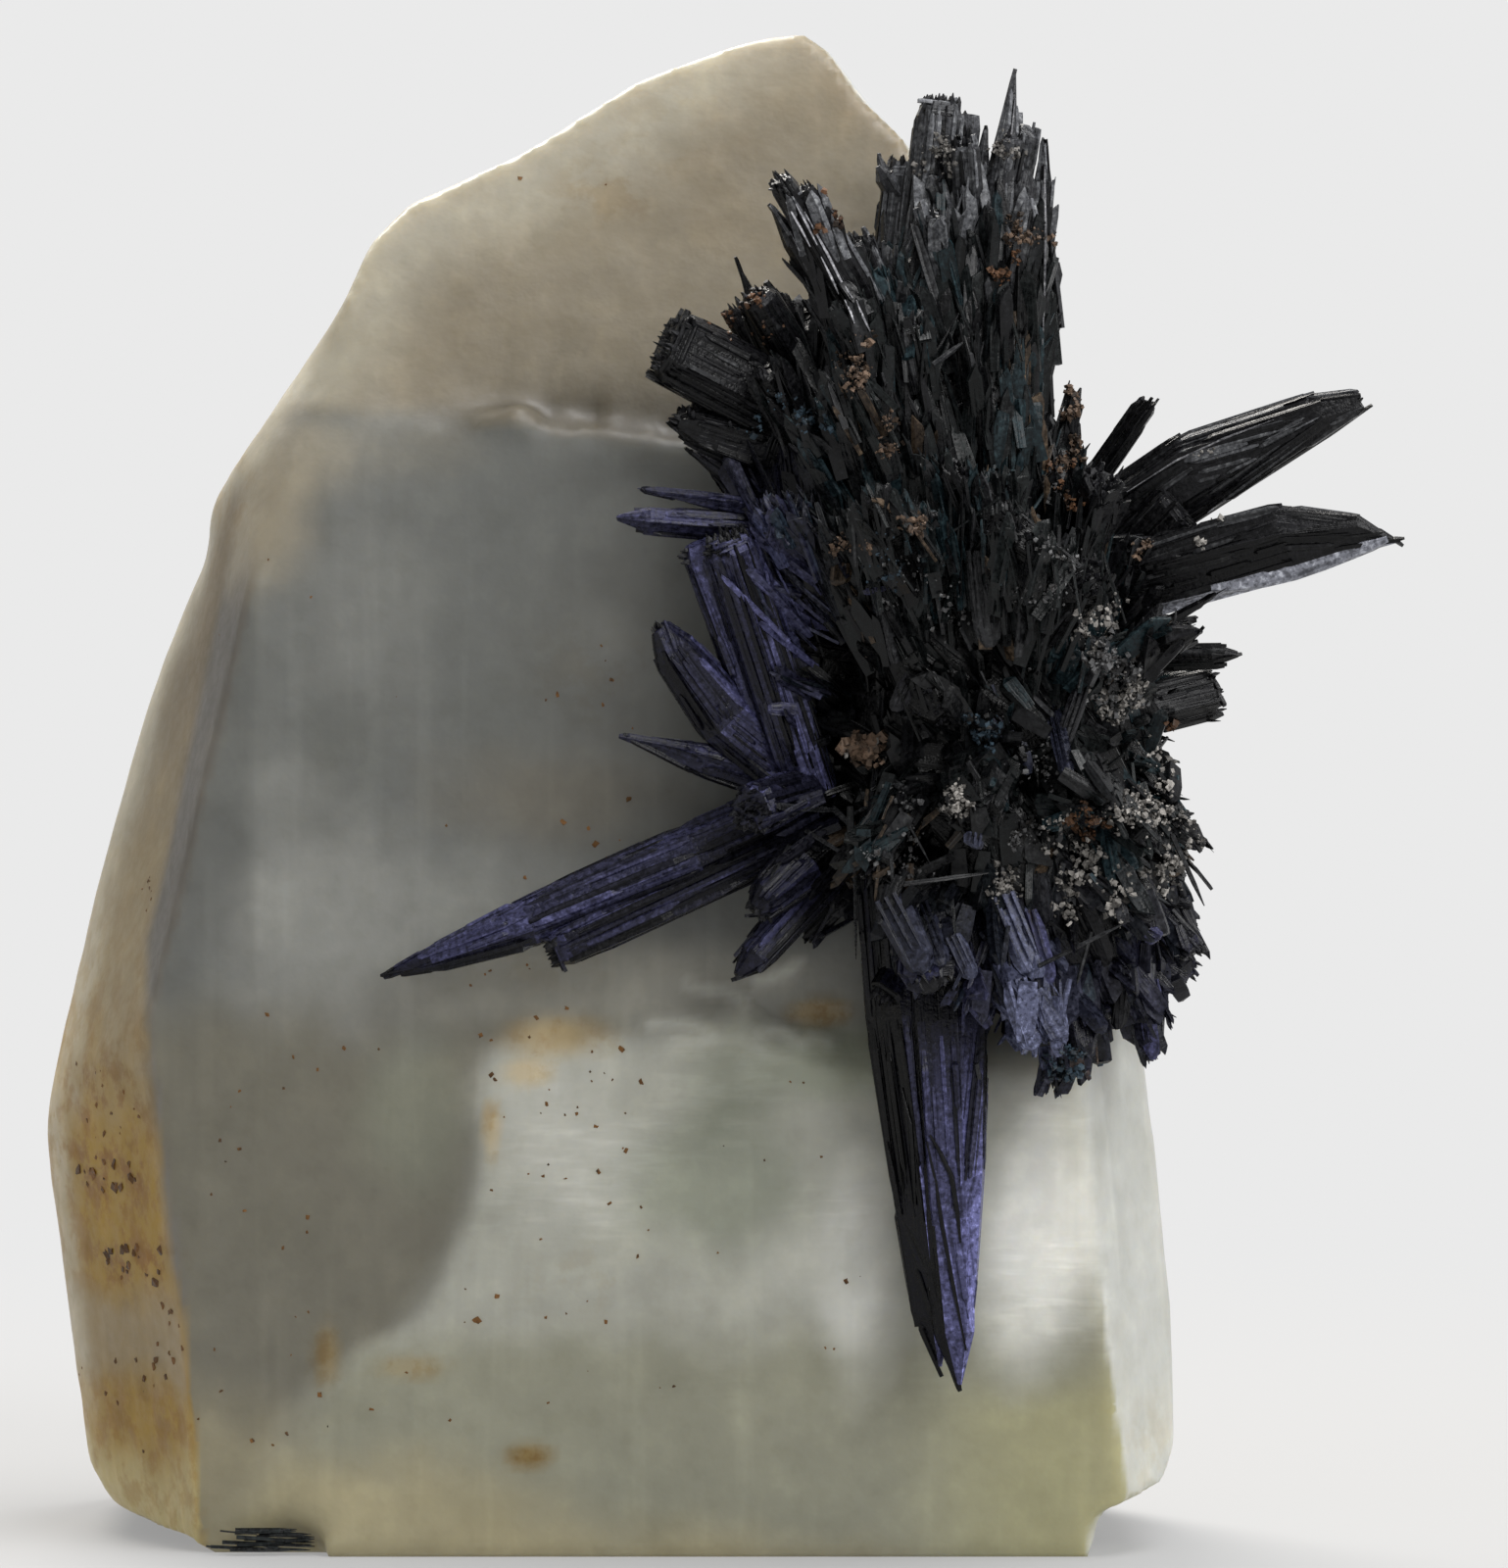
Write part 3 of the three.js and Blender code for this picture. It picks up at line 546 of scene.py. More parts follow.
    # Where the painted silky lustre lies on the proud face
    silky = proud * smooth(z, 4, 9) * (0.15 + 0.85 * smooth(noise(p, (4.5, 4.5, 2.4), 7), -0.25, 0.5))
    return tone, np.stack([np.clip(stained, 0, 1), silky, rough], axis=1)


def chip_rim(x, z):
    """1 on the rims of the chips, in soft strips."""
    away = [distance_to([from_photo(*pixel) for pixel in chip], x, z) for chip in CHIPS]
    return np.exp(-((np.min(away, axis=0) / 0.28) ** 2))


def relief_orthoclase(p, normal):
    """How far each point stands out, in millimetres: soft waves, chips along the ledge, a broken back."""
    x, y, z = p.T
    ny = normal[:, 1]
    out = 0.05 * noise(p, 3.2, 11) + 0.03 * noise(p, 1.1, 12)
    broken = smooth(ny, 0.25, 0.6)
    ragged = p + (0.5 * noise(p, 1.6, 18) + 0.25 * noise(p, 0.8, 19))[:, None]
    shards = 0.55 * facets(ragged, 8.0, 13) + 0.22 * facets(ragged, 2.6, 14)
    out += broken * (shards + 0.05 * noise(p, 0.8, 15))
    proud = under(y, -8.2, -7.55) * under(ny, -0.6, -0.25)
    out += proud * 0.02 * noise(p, (3.2, 3.2, 0.9), 16)
    out += 0.07 * chip_rim(x, z) * under(ny, -0.8, -0.5)
    edge = np.exp(-((z - LEDGE) / 0.9) ** 2) * under(ny, -0.5, -0.2) * smooth(x, -13, -9)
    out += edge * (0.25 * np.minimum(noise(p, 1.0, 17), 0.1) - 0.12)
    return out


def eased(p, edges, weight, rounds):
    """Points drawn, round by round, towards the mean of their neighbours: most where the weight is 1."""
    near = edges[(weight[edges] > 0).any(axis=1)]
    count = np.maximum(np.bincount(near.ravel(), minlength=len(p)), 1)
    for _ in range(rounds):
        total = np.zeros_like(p)
        for axis in range(3):
            for here, there in (near.T, near.T[::-1]):
                total[:, axis] += np.bincount(here, p[there, axis], len(p))
        p = p + 0.6 * weight[:, None] * (total / count[:, None] - p)
    return p


def build_orthoclase():
    """The stone: an even copy of the CAD crystal with eased edges, low relief and painted tones."""
    mesh, p = remeshed("orthoclase_crystal")
    edges = rows(mesh.edges, "vertices", 2, np.int64)
    x, y, z = p.T
    front = under(y, -4.5, -2.5)
    # The left rim of the proud face is a slow swell
    swell = under(z, 21, 25) * smooth(x, -21.0, -18.5) * under(x + 0.2 * z, -3, 5) * front
    p = eased(p, edges, swell * smooth(z, 0.6, 1.5), rounds=120)
    # The ledge is blunt, and dies out to the left
    ledge = under(np.abs(z - 45.5), 3, 6) * under(x, -14, -8.5) * smooth(x, -20.5, -18.5) * front
    p = eased(p, edges, ledge, rounds=90)
    p = eased(p, edges, under(np.abs(z - 46), 1.5, 3) * smooth(x, -20, -18) * front, rounds=8)
    # The back is worn
    worn = np.maximum(smooth(y, 3, 7), under(x, -18, -15) * smooth(y, -3, 2)) * smooth(z, 0.6, 2.0)
    p = eased(p, edges, worn, rounds=45)
    p[:, 0] -= 0.45 * under(p[:, 0], -26, -22) * smooth(z, 0.6, 3)
    mesh.vertices.foreach_set("co", (p * MM).ravel())
    mesh.update()
    normal = rows(mesh.vertex_normals, "vector", 3)
    tone, masks = paint_orthoclase(p, normal)
    moved = p + normal * relief_orthoclase(p, normal)[:, None]
    resting = p[:, 2] < REST_BAND
    moved[resting, 2] = p[resting, 2]
    moved[:, 2] = np.maximum(moved[:, 2], 0)
    mesh.vertices.foreach_set("co", (moved * MM).ravel())
    colour_layer(mesh, "paint", "POINT", tone)
    colour_layer(mesh, "masks", "POINT", masks)
    mesh.polygons.foreach_set("use_smooth", [True] * len(mesh.polygons))
    mesh.materials.clear()
    mesh.materials.append(orthoclase_material())
    mesh.update()
    piece = placed("orthoclase_stone", mesh)
    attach(piece, "root")
    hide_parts("orthoclase_crystal")


# The aegirine spray

# Extent of the intergrown mass: height, middle and half width in millimetres
MASS = np.array([
    (19, 15, 2.4), (23, 13.6, 5), (27, 12, 7), (31, 11.6, 7.6), (35, 10.9, 7.4), (39, 9.4, 7.0),
    (43, 8.2, 6.4), (47, 8.2, 5.9), (51, 9.4, 4.6), (53.5, 10.4, 3.0), (54.5, 10.4, 0.01),
])
SPRAY_MIDDLE = np.array([9.5, -7.0, 37.0])


def in_mass(p):
    """1 in the intergrown mass, 0 out on the free blades."""
    height, middle, half = MASS.T
    middle = np.interp(p[:, 2], height, middle)
    half = np.interp(p[:, 2], height, half, left=0.01, right=0.01)
    return under(np.abs(p[:, 0] - middle) / half, 0.92, 1.08)


TINY = 1e-12
SHORT = 1e-6  # edges and runs under this length, in millimetres, give no direction
FLAT = 0.9998  # triangles whose normals agree this well are one face


class Faces:
    """The flat faces of a CAD node, each with its normal and the way that its crystal runs."""

    def __init__(self, points, tris):
        self.points, self.tris = points, tris
        corners = points[tris]
        cross = np.cross(corners[:, 1] - corners[:, 0], corners[:, 2] - corners[:, 0])
        twice = np.linalg.norm(cross, axis=1)
        self.tri_normal = cross / np.maximum(twice, TINY)[:, None]
        self.tri_area = twice / 2
        self.centres = corners.mean(axis=1)
        self.edges = {}
        for t, tri in enumerate(tris):
            for k in range(3):
                a, b = int(tri[k]), int(tri[(k + 1) % 3])
                self.edges.setdefault((min(a, b), max(a, b)), []).append(t)
        self.join_flat()
        self.find_runs()
        self.side = np.cross(self.normal, self.run)
        self.area = np.bincount(self.face_of, weights=self.tri_area)
        self.middle = np.array([points[tris[m]].reshape(-1, 3).mean(axis=0) for m in self.members])
        # The lower side of the lower right blade is painted pale: a painted reflection of the pale floor
        x, _, z = self.middle.T
        self.pale = (x > 17) & (z > 37.5) & (z < 41.5) & (self.normal[:, 2] < -0.72)

    def join_flat(self):
        """Gathers neighbouring triangles of one plane into faces."""
        leader = list(range(len(self.tris)))

        def find(t):
            while leader[t] != t:
                leader[t] = leader[leader[t]]
                t = leader[t]
            return t

        for shared in self.edges.values():
            if len(shared) == 2 and self.tri_normal[shared[0]] @ self.tri_normal[shared[1]] > FLAT:
                leader[find(shared[0])] = find(shared[1])
        leaders = np.array([find(t) for t in range(len(self.tris))])
        _, self.face_of = np.unique(leaders, return_inverse=True)
        self.members = [[] for _ in range(self.face_of.max() + 1)]
        for t, f in enumerate(self.face_of):
            self.members[f].append(t)

    def find_runs(self):
        """Sets the normal of each face and its run, which follows its long edges away from the middle."""
        count = len(self.members)
        ridge = np.zeros((count, 3, 3))
        rim = np.zeros((count, 3, 3))
        for (a, b), shared in self.edges.items():
            along = self.points[b] - self.points[a]
            length = np.linalg.norm(along)
            if len(shared) != 2 or self.face_of[shared[0]] == self.face_of[shared[1]] or length < SHORT:
                continue
            tensor = np.outer(along, along) / length
            convex = (self.centres[shared[1]] - self.points[a]) @ self.tri_normal[shared[0]] < 0
            for t in shared:
                rim[self.face_of[t]] += tensor
                if convex:
                    ridge[self.face_of[t]] += tensor
        self.normal = np.zeros((count, 3))
        self.run = np.zeros((count, 3))
        for f, members in enumerate(self.members):
            n = (self.tri_normal[members] * self.tri_area[members][:, None]).sum(axis=0)
            n = n / max(np.linalg.norm(n), TINY)
            tensor = ridge[f] if np.trace(ridge[f]) > 0.25 * np.trace(rim[f]) else rim[f]
            flat = np.eye(3) - np.outer(n, n)
            run = np.linalg.eigh(flat @ tensor @ flat)[1][:, 2]
            run = run - n * (run @ n)
            size = np.linalg.norm(run)
            run = run / size if size > SHORT else np.array([0.0, 0.0, 1.0])
            away = self.centres[members].mean(axis=0) - SPRAY_MIDDLE
            self.normal[f] = n
            self.run[f] = run if run @ away >= 0 else -run

    def spots(self, count, weight, rng):
        """Random points on the faces: points, and the face of each."""
        share = self.tri_area * weight[self.face_of]
        chosen = rng.choice(len(self.tris), count, p=share / share.sum())
        a, b = rng.random((2, count))
        flip = a + b > 1
        a, b = np.where(flip, 1 - a, a), np.where(flip, 1 - b, b)
        c = self.points[self.tris[chosen]]
        spots = c[:, 0] + a[:, None] * (c[:, 1] - c[:, 0]) + b[:, None] * (c[:, 2] - c[:, 0])
        return spots, self.face_of[chosen]

    def span(self, face, spot):
        """How far the face reaches from a spot, back and forth along its run."""
        run, side = self.run[face], self.side[face]
        pieces = []
        for t in self.members[face]:
            rel = self.points[self.tris[t]] - spot
            along, across = rel @ run, rel @ side
            cuts = []
            for k in range(3):
                c0, c1 = across[k], across[(k + 1) % 3]
                if (c0 < 0) != (c1 < 0):
                    cuts.append(along[k] + (along[(k + 1) % 3] - along[k]) * c0 / (c0 - c1))
            if len(cuts) == 2:
                pieces.append((min(cuts), max(cuts)))
        low = high = 0.0
        for _ in range(3):
            for a, b in pieces:
                if a <= high + 0.05 and b >= low - 0.05:
                    low, high = min(low, a), max(high, b)
        return low, high


# The grain map of small forms: how far apart their sides lie in it, and how far each form may be shifted
GRAIN_STEP, GRAIN_SHIFT = 0.35, 400


class Heap:
    """Many small closed forms gathered in one mesh, with a grain map and a tint on every corner."""

    def __init__(self):
        self.verts, self.faces, self.uvs, self.tints = [], [], [], []
        self.count = 0

    def loft(self, rings, tint, lengths, offset):
        """A closed form through rings of points; the grain map runs along it."""
        rings = np.asarray(rings)
        stations, sides = rings.shape[:2]
        start = self.count
        self.verts.append(rings.reshape(-1, 3))
        self.count += stations * sides

        def corner(i, k):
            self.uvs.append((lengths[i] + offset, GRAIN_STEP * k + offset))
            return start + i * sides + k % sides

        for i in range(stations - 1):
            for k in range(sides):
                self.faces.append([corner(i, k), corner(i, k + 1), corner(i + 1, k + 1), corner(i + 1, k)])
        self.faces.append([corner(0, k) for k in reversed(range(sides))])
        self.faces.append([corner(stations - 1, k) for k in range(sides)])
        self.tints.append((tint, sides * (stations - 1) * 4 + 2 * sides))

    def lump(self, points, faces, tint):
        """A small block, without a grain map."""
        self.verts.append(points)
        for face in faces:
            self.faces.append([self.count + i for i in face])
            self.uvs.extend((0.0, 0.0) for _ in face)
        self.tints.append((tint, sum(len(face) for face in faces)))
        self.count += len(points)

    def piece(self, name, material, slot):
        made = new_piece(name, np.concatenate(self.verts), self.faces, material)
        dress(made.data, np.array(self.uvs), np.concatenate([np.tile(t, (c, 1)) for t, c in self.tints]))
        return made


def dress(mesh, uvs, tints):
    """Writes the grain map and the tint of every corner."""
    layer = mesh.uv_layers.new(name="grain")
    layer.uv.foreach_set("vector", np.asarray(uvs, dtype=np.float32).ravel())
    colour_layer(mesh, "tint", "CORNER", tints)


# Tones of the aegirine
BLACK = np.array([0.0055, 0.0055, 0.0065])
GREEN = np.array([0.0062, 0.0080, 0.0082])
TEAL = np.array([0.011, 0.020, 0.024])
GREY = np.array([0.036, 0.037, 0.040])
# VIOLET is the violet lustre that the blades reflect, painted into their colour
VIOLET = np.array([0.044, 0.045, 0.102])
SLATE = np.array([0.090, 0.098, 0.165])
RUSTY = np.array([0.070, 0.050, 0.034])
# This pale tone is a painted reflection of the pale floor
FLOOR_REFLECTION = np.array([0.30, 0.31, 0.36])
# Painted light: faces turned to LIT_FROM are painted brighter, faces turned away darker
LIT_FROM = np.array([0.5, -0.25, 0.55])  # the side that the sheen of the crystals turns to


def cast_of(p):
    """Violet cast of the aegirine, painted in for the violet lustre that the blades reflect: strong on the
    free blades left, below and in the hanging blade.
    """
    x, _, z = p.T
    left = under(x, 2, 5) * under(z, 41, 46)
    below = under(z - 0.5 * noise(p, 3, 21), 24, 29)
    hanging = under(z, 24, 26) * under(x, 10.4, 11.2)
    return np.clip(0.8 * left + 0.22 * below + 0.7 * hanging, 0, 1)


# Deep gaps between the crystals of the mass, with painted shade: middle, half width and half height in
# photo pixels
VOIDS = [
    (965, 850, 42, 26), (1105, 930, 34, 30), (1145, 752, 40, 24), (845, 770, 34, 44), (880, 690, 60, 34),
    (1000, 655, 46, 40), (935, 1015, 40, 34), (1060, 780, 30, 24), (915, 560, 26, 34),
    (1045, 300, 16, 40), (960, 390, 24, 30), (805, 470, 22, 40), (840, 665, 24, 76),
]


def void_at(p):
    """1 in the deep gaps of the mass."""
    gap = np.zeros(len(p))
    for px, py, wide, high in VOIDS:
        away = oval(p[:, 0], p[:, 2], px, py, wide, high) + 0.25 * noise(p, 0.9, 31)
        gap = np.maximum(gap, under(away, 0.75, 1.25))
    return gap


def gap_shade_of(p):
    """Painted shade: dark between the roots of the crystals and in the deep gaps of the mass."""
    return (0.45 + 0.55 * smooth(np.hypot(p[:, 0] - 7.5, p[:, 2] - 31.5), 3.5, 9)) * (1 - 0.8 * void_at(p))


def hanging_shade(p, normal, home):
    """Shade of the hanging blade at points of faces with their middle at home: black at its root."""
    x, _, z = home.T
    blade = under(z, 24, 26) * under(x, 11.2, 12.2)
    shade = (0.1 + 2.4 * smooth(normal[:, 0], -0.15, 0.35)) * (0.08 + 0.92 * under(p[:, 2], 15, 22))
    return 1 + (shade - 1) * blade


def blade_shade(p):
    """Shade of the free blades on the left: dark roots of the long one, bright upright ones above it."""
    x, _, z = p.T
    roots = band(x, -6, -2, 2, 4) * band(z, 25.8, 26.8, 29.5, 31)
    upright = under(x, 3, 4.5) * band(z, 33, 34.5, 40.5, 42)
    tall = smooth(x - np.interp(z, (33, 40.8), (1.3, -1.2)), -0.3, 0.3)
    dim = (1 - tall) * under(x, 1.8, 3) * band(z, 30.6, 31.2, 38, 40)
    return 1 - 0.85 * roots + 1.2 * tall * upright - 0.6 * dim


def sheen(normal):
    """Painted light and shade: how bright a face is painted for the way that it turns to LIT_FROM."""
    return 0.22 + 1.1 * smooth(normal @ LIT_FROM, -0.3, 0.6)


def tone_of(p, rng):
    """Tone of single crystals that stand at the points."""
    chance = rng.random(len(p))
    mass = in_mass(p)
    x, _, z = p.T
    tone = BLACK + (GREEN - BLACK) * (mass * rng.random(len(p)))[:, None]
    high, right = smooth(z, 51, 55), smooth(x, 18, 20) * smooth(z, 42.2, 43.2)
    low = under(z, 26, 31)
    grey = GREY * (rng.uniform(0.2, 0.9, len(p)) * (1 - 0.3 * low) + 2.7 * high + 1.3 * right)[:, None]
    tone = np.where((chance < 0.11 + 0.17 * low + 0.6 * np.maximum(high, right))[:, None], grey, tone)
    teal = smooth(noise(p, 3.0, 25), 0.0, 0.5) * mass
    tone = np.where((chance > 1 - 0.45 * teal)[:, None], TEAL, tone)
    rusty = smooth(noise(p, 2.6, 23), 0.3, 0.7) * mass
    rust = RUSTY * rng.uniform(0.4, 1.1, (len(p), 1))
    tone = np.where((np.abs(chance - 0.4) < 0.14 * rusty)[:, None], rust, tone)
    tone = tone + (VIOLET - tone) * (cast_of(p) * rng.uniform(0.2, 1.0, len(p)))[:, None]
    slate = under(np.hypot((x - 12.7) / 1.4, (z - 22.8) / 2.6), 0.7, 1.3)
    tone = tone + (SLATE - tone) * (slate * rng.uniform(0.55, 1.0, len(p)))[:, None]
    middle = band(z, 25.5, 27, 33, 36) * mass
    # Painted shade in the gaps and at the roots, painted light on the upright blades, lighter across the
    # middle
    return tone * (gap_shade_of(p) * blade_shade(p) * (1 + 0.6 * middle))[:, None]


def build_crystals(faces, rng):
    """The crystals of the spray themselves, with striations that follow each one."""
    p, tris = faces.points, faces.tris
    corners = p[tris]
    run, side = faces.run[faces.face_of], faces.side[faces.face_of]
    offset = rng.uniform(0, GRAIN_SHIFT, (len(faces.area), 2))[faces.face_of]
    u = np.einsum("tkc,tc->tk", corners, run) + offset[:, :1]
    v = np.einsum("tkc,tc->tk", corners, side) + offset[:, 1:]
    # Painted light and shade by the way each face turns
    shade = rng.uniform(0.6, 1.5, len(faces.area)) * sheen(faces.normal)
    tone = (BLACK + (VIOLET - BLACK) * cast_of(faces.middle)[:, None]) * shade[:, None]
    high = smooth(faces.middle[:, 2], 51.5, 54) * smooth(faces.middle[:, 0], 5, 7)
    tone = tone + GREY * (high * rng.uniform(0.5, 1.9, len(high)))[:, None]
    # Painted shade: darker in the mass under the laths, in its gaps and at the roots of the blades
    dark = gap_shade_of(faces.middle) * blade_shade(faces.middle)
    tone = tone * ((1 - 0.65 * in_mass(faces.middle)) * dark)[:, None]
    # Painted reflection of the floor on the pale lower side
    tone[faces.pale] = FLOOR_REFLECTION
    home = np.repeat(faces.face_of, 3)
    hung = hanging_shade(corners.reshape(-1, 3), faces.normal[home], faces.middle[home])
    material = aegirine_material("aegirine", fine=1.0)
    piece = new_piece("aegirine_crystals", p, tris.tolist(), material)
    dress(piece.data, np.stack([u, v], axis=-1).reshape(-1, 2), tone[home] * hung[:, None])
    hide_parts("aegirine_spray")


SLATS = 3000
SLAT_STATIONS = np.array([0, 0.12, 0.86, 1])
SLAT_SINK = 0.12  # how deep the foot of a slat lies in its face, in millimetres

# How far the tips of slats, laths, and needles or stubs may stand off the crystals, in millimetres
SLAT_REACH, LATH_REACH, NEEDLE_REACH = 0.4, 0.55, 0.6


def off(surface, point):
    """How far a point lies from a surface."""
    return surface.find_nearest(Vector(point))[3]


def build_slats(faces, surface, material, rng):
    """Thin raised slats that lie along the crystals: the steps and ridges of their striated faces."""
    heap = Heap()
    hanging = under(faces.middle[:, 2], 22, 25)
    weight = (1.0 - 0.8 * in_mass(faces.middle)) * (1 - 0.6 * hanging) * ~faces.pale
    spots, owner = faces.spots(SLATS, weight, rng)
    normals = faces.normal[owner]
    # Painted light and shade on the slats, by the way their faces turn and on the hanging blade
    tones = tone_of(spots, rng) * (sheen(normals) * hanging_shade(spots, normals, spots))[:, None]
    for spot, face, tone in zip(spots, owner, tones):
        low, high = faces.span(face, spot)
        length = (high - low) * rng.uniform(0.3, 1.0)
        if length < 0.5:
            continue
        run, side, normal = faces.run[face], faces.side[face], faces.normal[face]
        start = spot + run * (low + (high - low - length) * rng.random())
        width = min(rng.uniform(0.10, 0.42), 0.16 * length + 0.06)
        height = width * rng.uniform(0.16, 0.5)
        past = rng.uniform(0, 0.7)
        if off(surface, start + run * (length + past) - normal * SLAT_SINK) < SLAT_REACH:
            length += past
        taper = np.array([rng.uniform(0.2, 0.8), 1, rng.uniform(0.75, 1), rng.uniform(0.1, 0.6)])
        rise = np.array([rng.uniform(0, 0.4), 1, rng.uniform(0.7, 1), rng.uniform(0, 0.8)])
        rings = []
        for along, wide, tall in zip(SLAT_STATIONS * length, taper, rise):
            at = start + run * along
            rings.append([
                at - side * width * wide / 2 - normal * SLAT_SINK,
                at - side * width * wide * 0.36 + normal * height * tall,
                at + side * width * wide * 0.30 + normal * height * tall * 0.9,
                at + side * width * wide / 2 - normal * SLAT_SINK,
            ])
        heap.loft(np.array(rings)[:, ::-1], tone, SLAT_STATIONS * length, rng.uniform(0, GRAIN_SHIFT))
    heap.piece("aegirine_slats", material, "aegirine")
    return heap


def flow_at(p):
    """The way that the crystals of the mass run: up and a little left above, fanning out below."""
    x, _, z = p.T
    up = np.stack([x - 11.8, np.full(len(p), -2.0), z - np.interp(z, (30, 38), (36, 27))], axis=1)
    up[:, 1] -= 5 * np.exp(-((z - 33) / 4) ** 2)
    return unit(up)


LATHS = 4200


def build_laths(faces, surface, material, rng):
    """Flat laths with blunt, slanting ends, packed side by side over the mass."""
    heap = Heap()
    facing = under(faces.normal[:, 1], -0.2, 0.5)
    spots, owner = faces.spots(LATHS, in_mass(faces.middle) * facing + 1e-6, rng)
    tones, flows, gaps = tone_of(spots, rng), flow_at(spots), void_at(spots)
    for spot, face, tone, flow, gap in zip(spots, owner, tones, flows, gaps):
        out = unit(faces.normal[face] + (0, -0.7, 0))
        upper = float(smooth(spot[2], 34, 40))
        if rng.random() < max(0.85 * gap, 0.4 * (1 - upper)):
            continue
        axis = flow - 0.9 * (flow @ out) * out + out * rng.uniform(-0.03, 0.22)
        axis = unit(axis + rng.normal(0, 0.22 - 0.09 * upper, 3))
        length = rng.uniform(0.6, 2.8) + upper * rng.uniform(0.3, 3.4)
        width = rng.choice([0.16, 0.26, 0.42, 0.76]) * rng.uniform(0.7, 1.2) * (1 - 0.2 * upper)
        length = max(length, 2.6 * width)
        thick = width * (rng.uniform(0.4, 0.8) - 0.2 * upper)
        back = rng.uniform(0.35, 0.6)
        root = spot - axis * length * back + out * rng.uniform(-0.15, 0.3)
        for _ in range(6):
            if off(surface, root + axis * length) < LATH_REACH:
                break
            length *= 0.84
        across = unit(np.cross(out, axis))
        roll = rng.uniform(-0.7, 0.7)
        through = np.cross(axis, across)
        wide = across * math.cos(roll) + through * math.sin(roll)
        deep = np.cross(axis, wide)
        slant = rng.uniform(-0.9, 0.9)
        ends = (
            (0, 0.8, 0.0),
            (0.55, 1.0, 0.0),
            (0.9, rng.uniform(0.8, 1.0), slant * 0.4),
            (1, rng.uniform(0.25, 0.75), slant),
        )
        rings = []
        for along, scale, shear in ends:
            at = root + axis * length * along
            w, d = wide * width * scale / 2, deep * thick * scale / 2
            skew = axis * shear * width / 2
            rings.append([at - w - d - skew, at + w - d + skew, at + w + d + skew, at - w + d - skew])
        heap.loft(rings, tone, [e[0] * length for e in ends], rng.uniform(0, GRAIN_SHIFT))
    heap.piece("aegirine_laths", material, "aegirine")
    return heap


NEEDLES = 900
NEEDLE_STATIONS = [(0, 1.0), (0.7, 0.85), (1, 0.2)]
NEEDLE_RING = np.array([(math.cos(a), math.sin(a)) for a in np.arange(4) * math.pi / 2])

# Single needles that cross in front of the mass: two ends in photo pixels, twice how far each stands out
# and the width, in millimetres
STRAY_NEEDLES = [
    ((795, 822), (858, 826), 0.8, 1.6, 0.32), ((823, 847), (913, 903), 1.0, 0.8, 0.26),
    ((850, 824), (914, 884), 1.2, 1.0, 0.34), ((872, 884), (873, 972), 1.4, 1.0, 0.16),
    ((918, 824), (950, 882), 1.6, 1.2, 0.14), ((912, 903), (1010, 890), 1.2, 0.8, 0.28),
    ((806, 862), (786, 896), 0.9, 0.6, 0.20), ((765, 775), (802, 804), 0.5, 0.6, 0.14),
    ((952, 372), (984, 348), 2.0, 1.4, 0.26), ((900, 380), (918, 440), 1.5, 1.2, 0.16),
    ((745, 430), (752, 480), 1.0, 0.8, 0.14), ((870, 830), (905, 812), 1.4, 1.4, 0.16),
    ((980, 640), (1008, 700), 1.6, 1.2, 0.20), ((1060, 985), (1150, 940), 1.0, 1.0, 0.20),
    ((907, 850), (911, 905), 1.3, 1.2, 0.24), ((1113, 950), (1097, 1010), 1.0, 1.0, 0.20),
    ((1195, 850), (1226, 918), 0.8, 0.6, 0.26), ((996, 1085), (1006, 1140), 0.4, 0.3, 0.24),
]


def needle(heap, root, tip, width, tone, rng):
    """A thin four-sided needle."""
    length = np.linalg.norm(tip - root)
    axis = (tip - root) / length
    across = unit(np.cross(axis, (0.31, 0.83, 0.46)))
    ring = NEEDLE_RING[:, :1] * across + NEEDLE_RING[:, 1:] * np.cross(axis, across)
    rings = [root + axis * length * s + ring * width * w / 2 for s, w in NEEDLE_STATIONS]
    heap.loft(rings, tone, [s * length for s, _ in NEEDLE_STATIONS], rng.uniform(0, GRAIN_SHIFT))


def build_needles(faces, surface, material, rng):
    """Fine needles between the laths, and single ones that cross in front of them."""
    heap = Heap()
    spots, owner = faces.spots(NEEDLES, in_mass(faces.middle) + 1e-6, rng)
    tones, flows = tone_of(spots, rng), flow_at(spots)
    for spot, face, tone, flow in zip(spots, owner, tones, flows):
        lean = unit(flow + faces.normal[face] * rng.uniform(0.0, 0.5) + rng.normal(0, 0.25, 3))
        length = rng.uniform(0.5, 1.6)
        while off(surface, spot + lean * length) > NEEDLE_REACH:
            length *= 0.8
        needle(heap, spot - lean * 0.4, spot + lean * length, rng.uniform(0.08, 0.2), tone, rng)
    for a, b, out_a, out_b, width in STRAY_NEEDLES:
        ends = []
        for (px, py), out in ((a, out_a), (b, out_b)):
            x, z = from_photo(px, py)
            hit = seen_on(surface, px, py)
            ends.append(np.array([x, -9.0, z]) if hit is None else hit)
            ends[-1][1] -= out * 0.5
        needle(heap, ends[0], ends[1], width, GREY * 0.8, rng)
    heap.piece("aegirine_needle_felt", material, "aegirine")


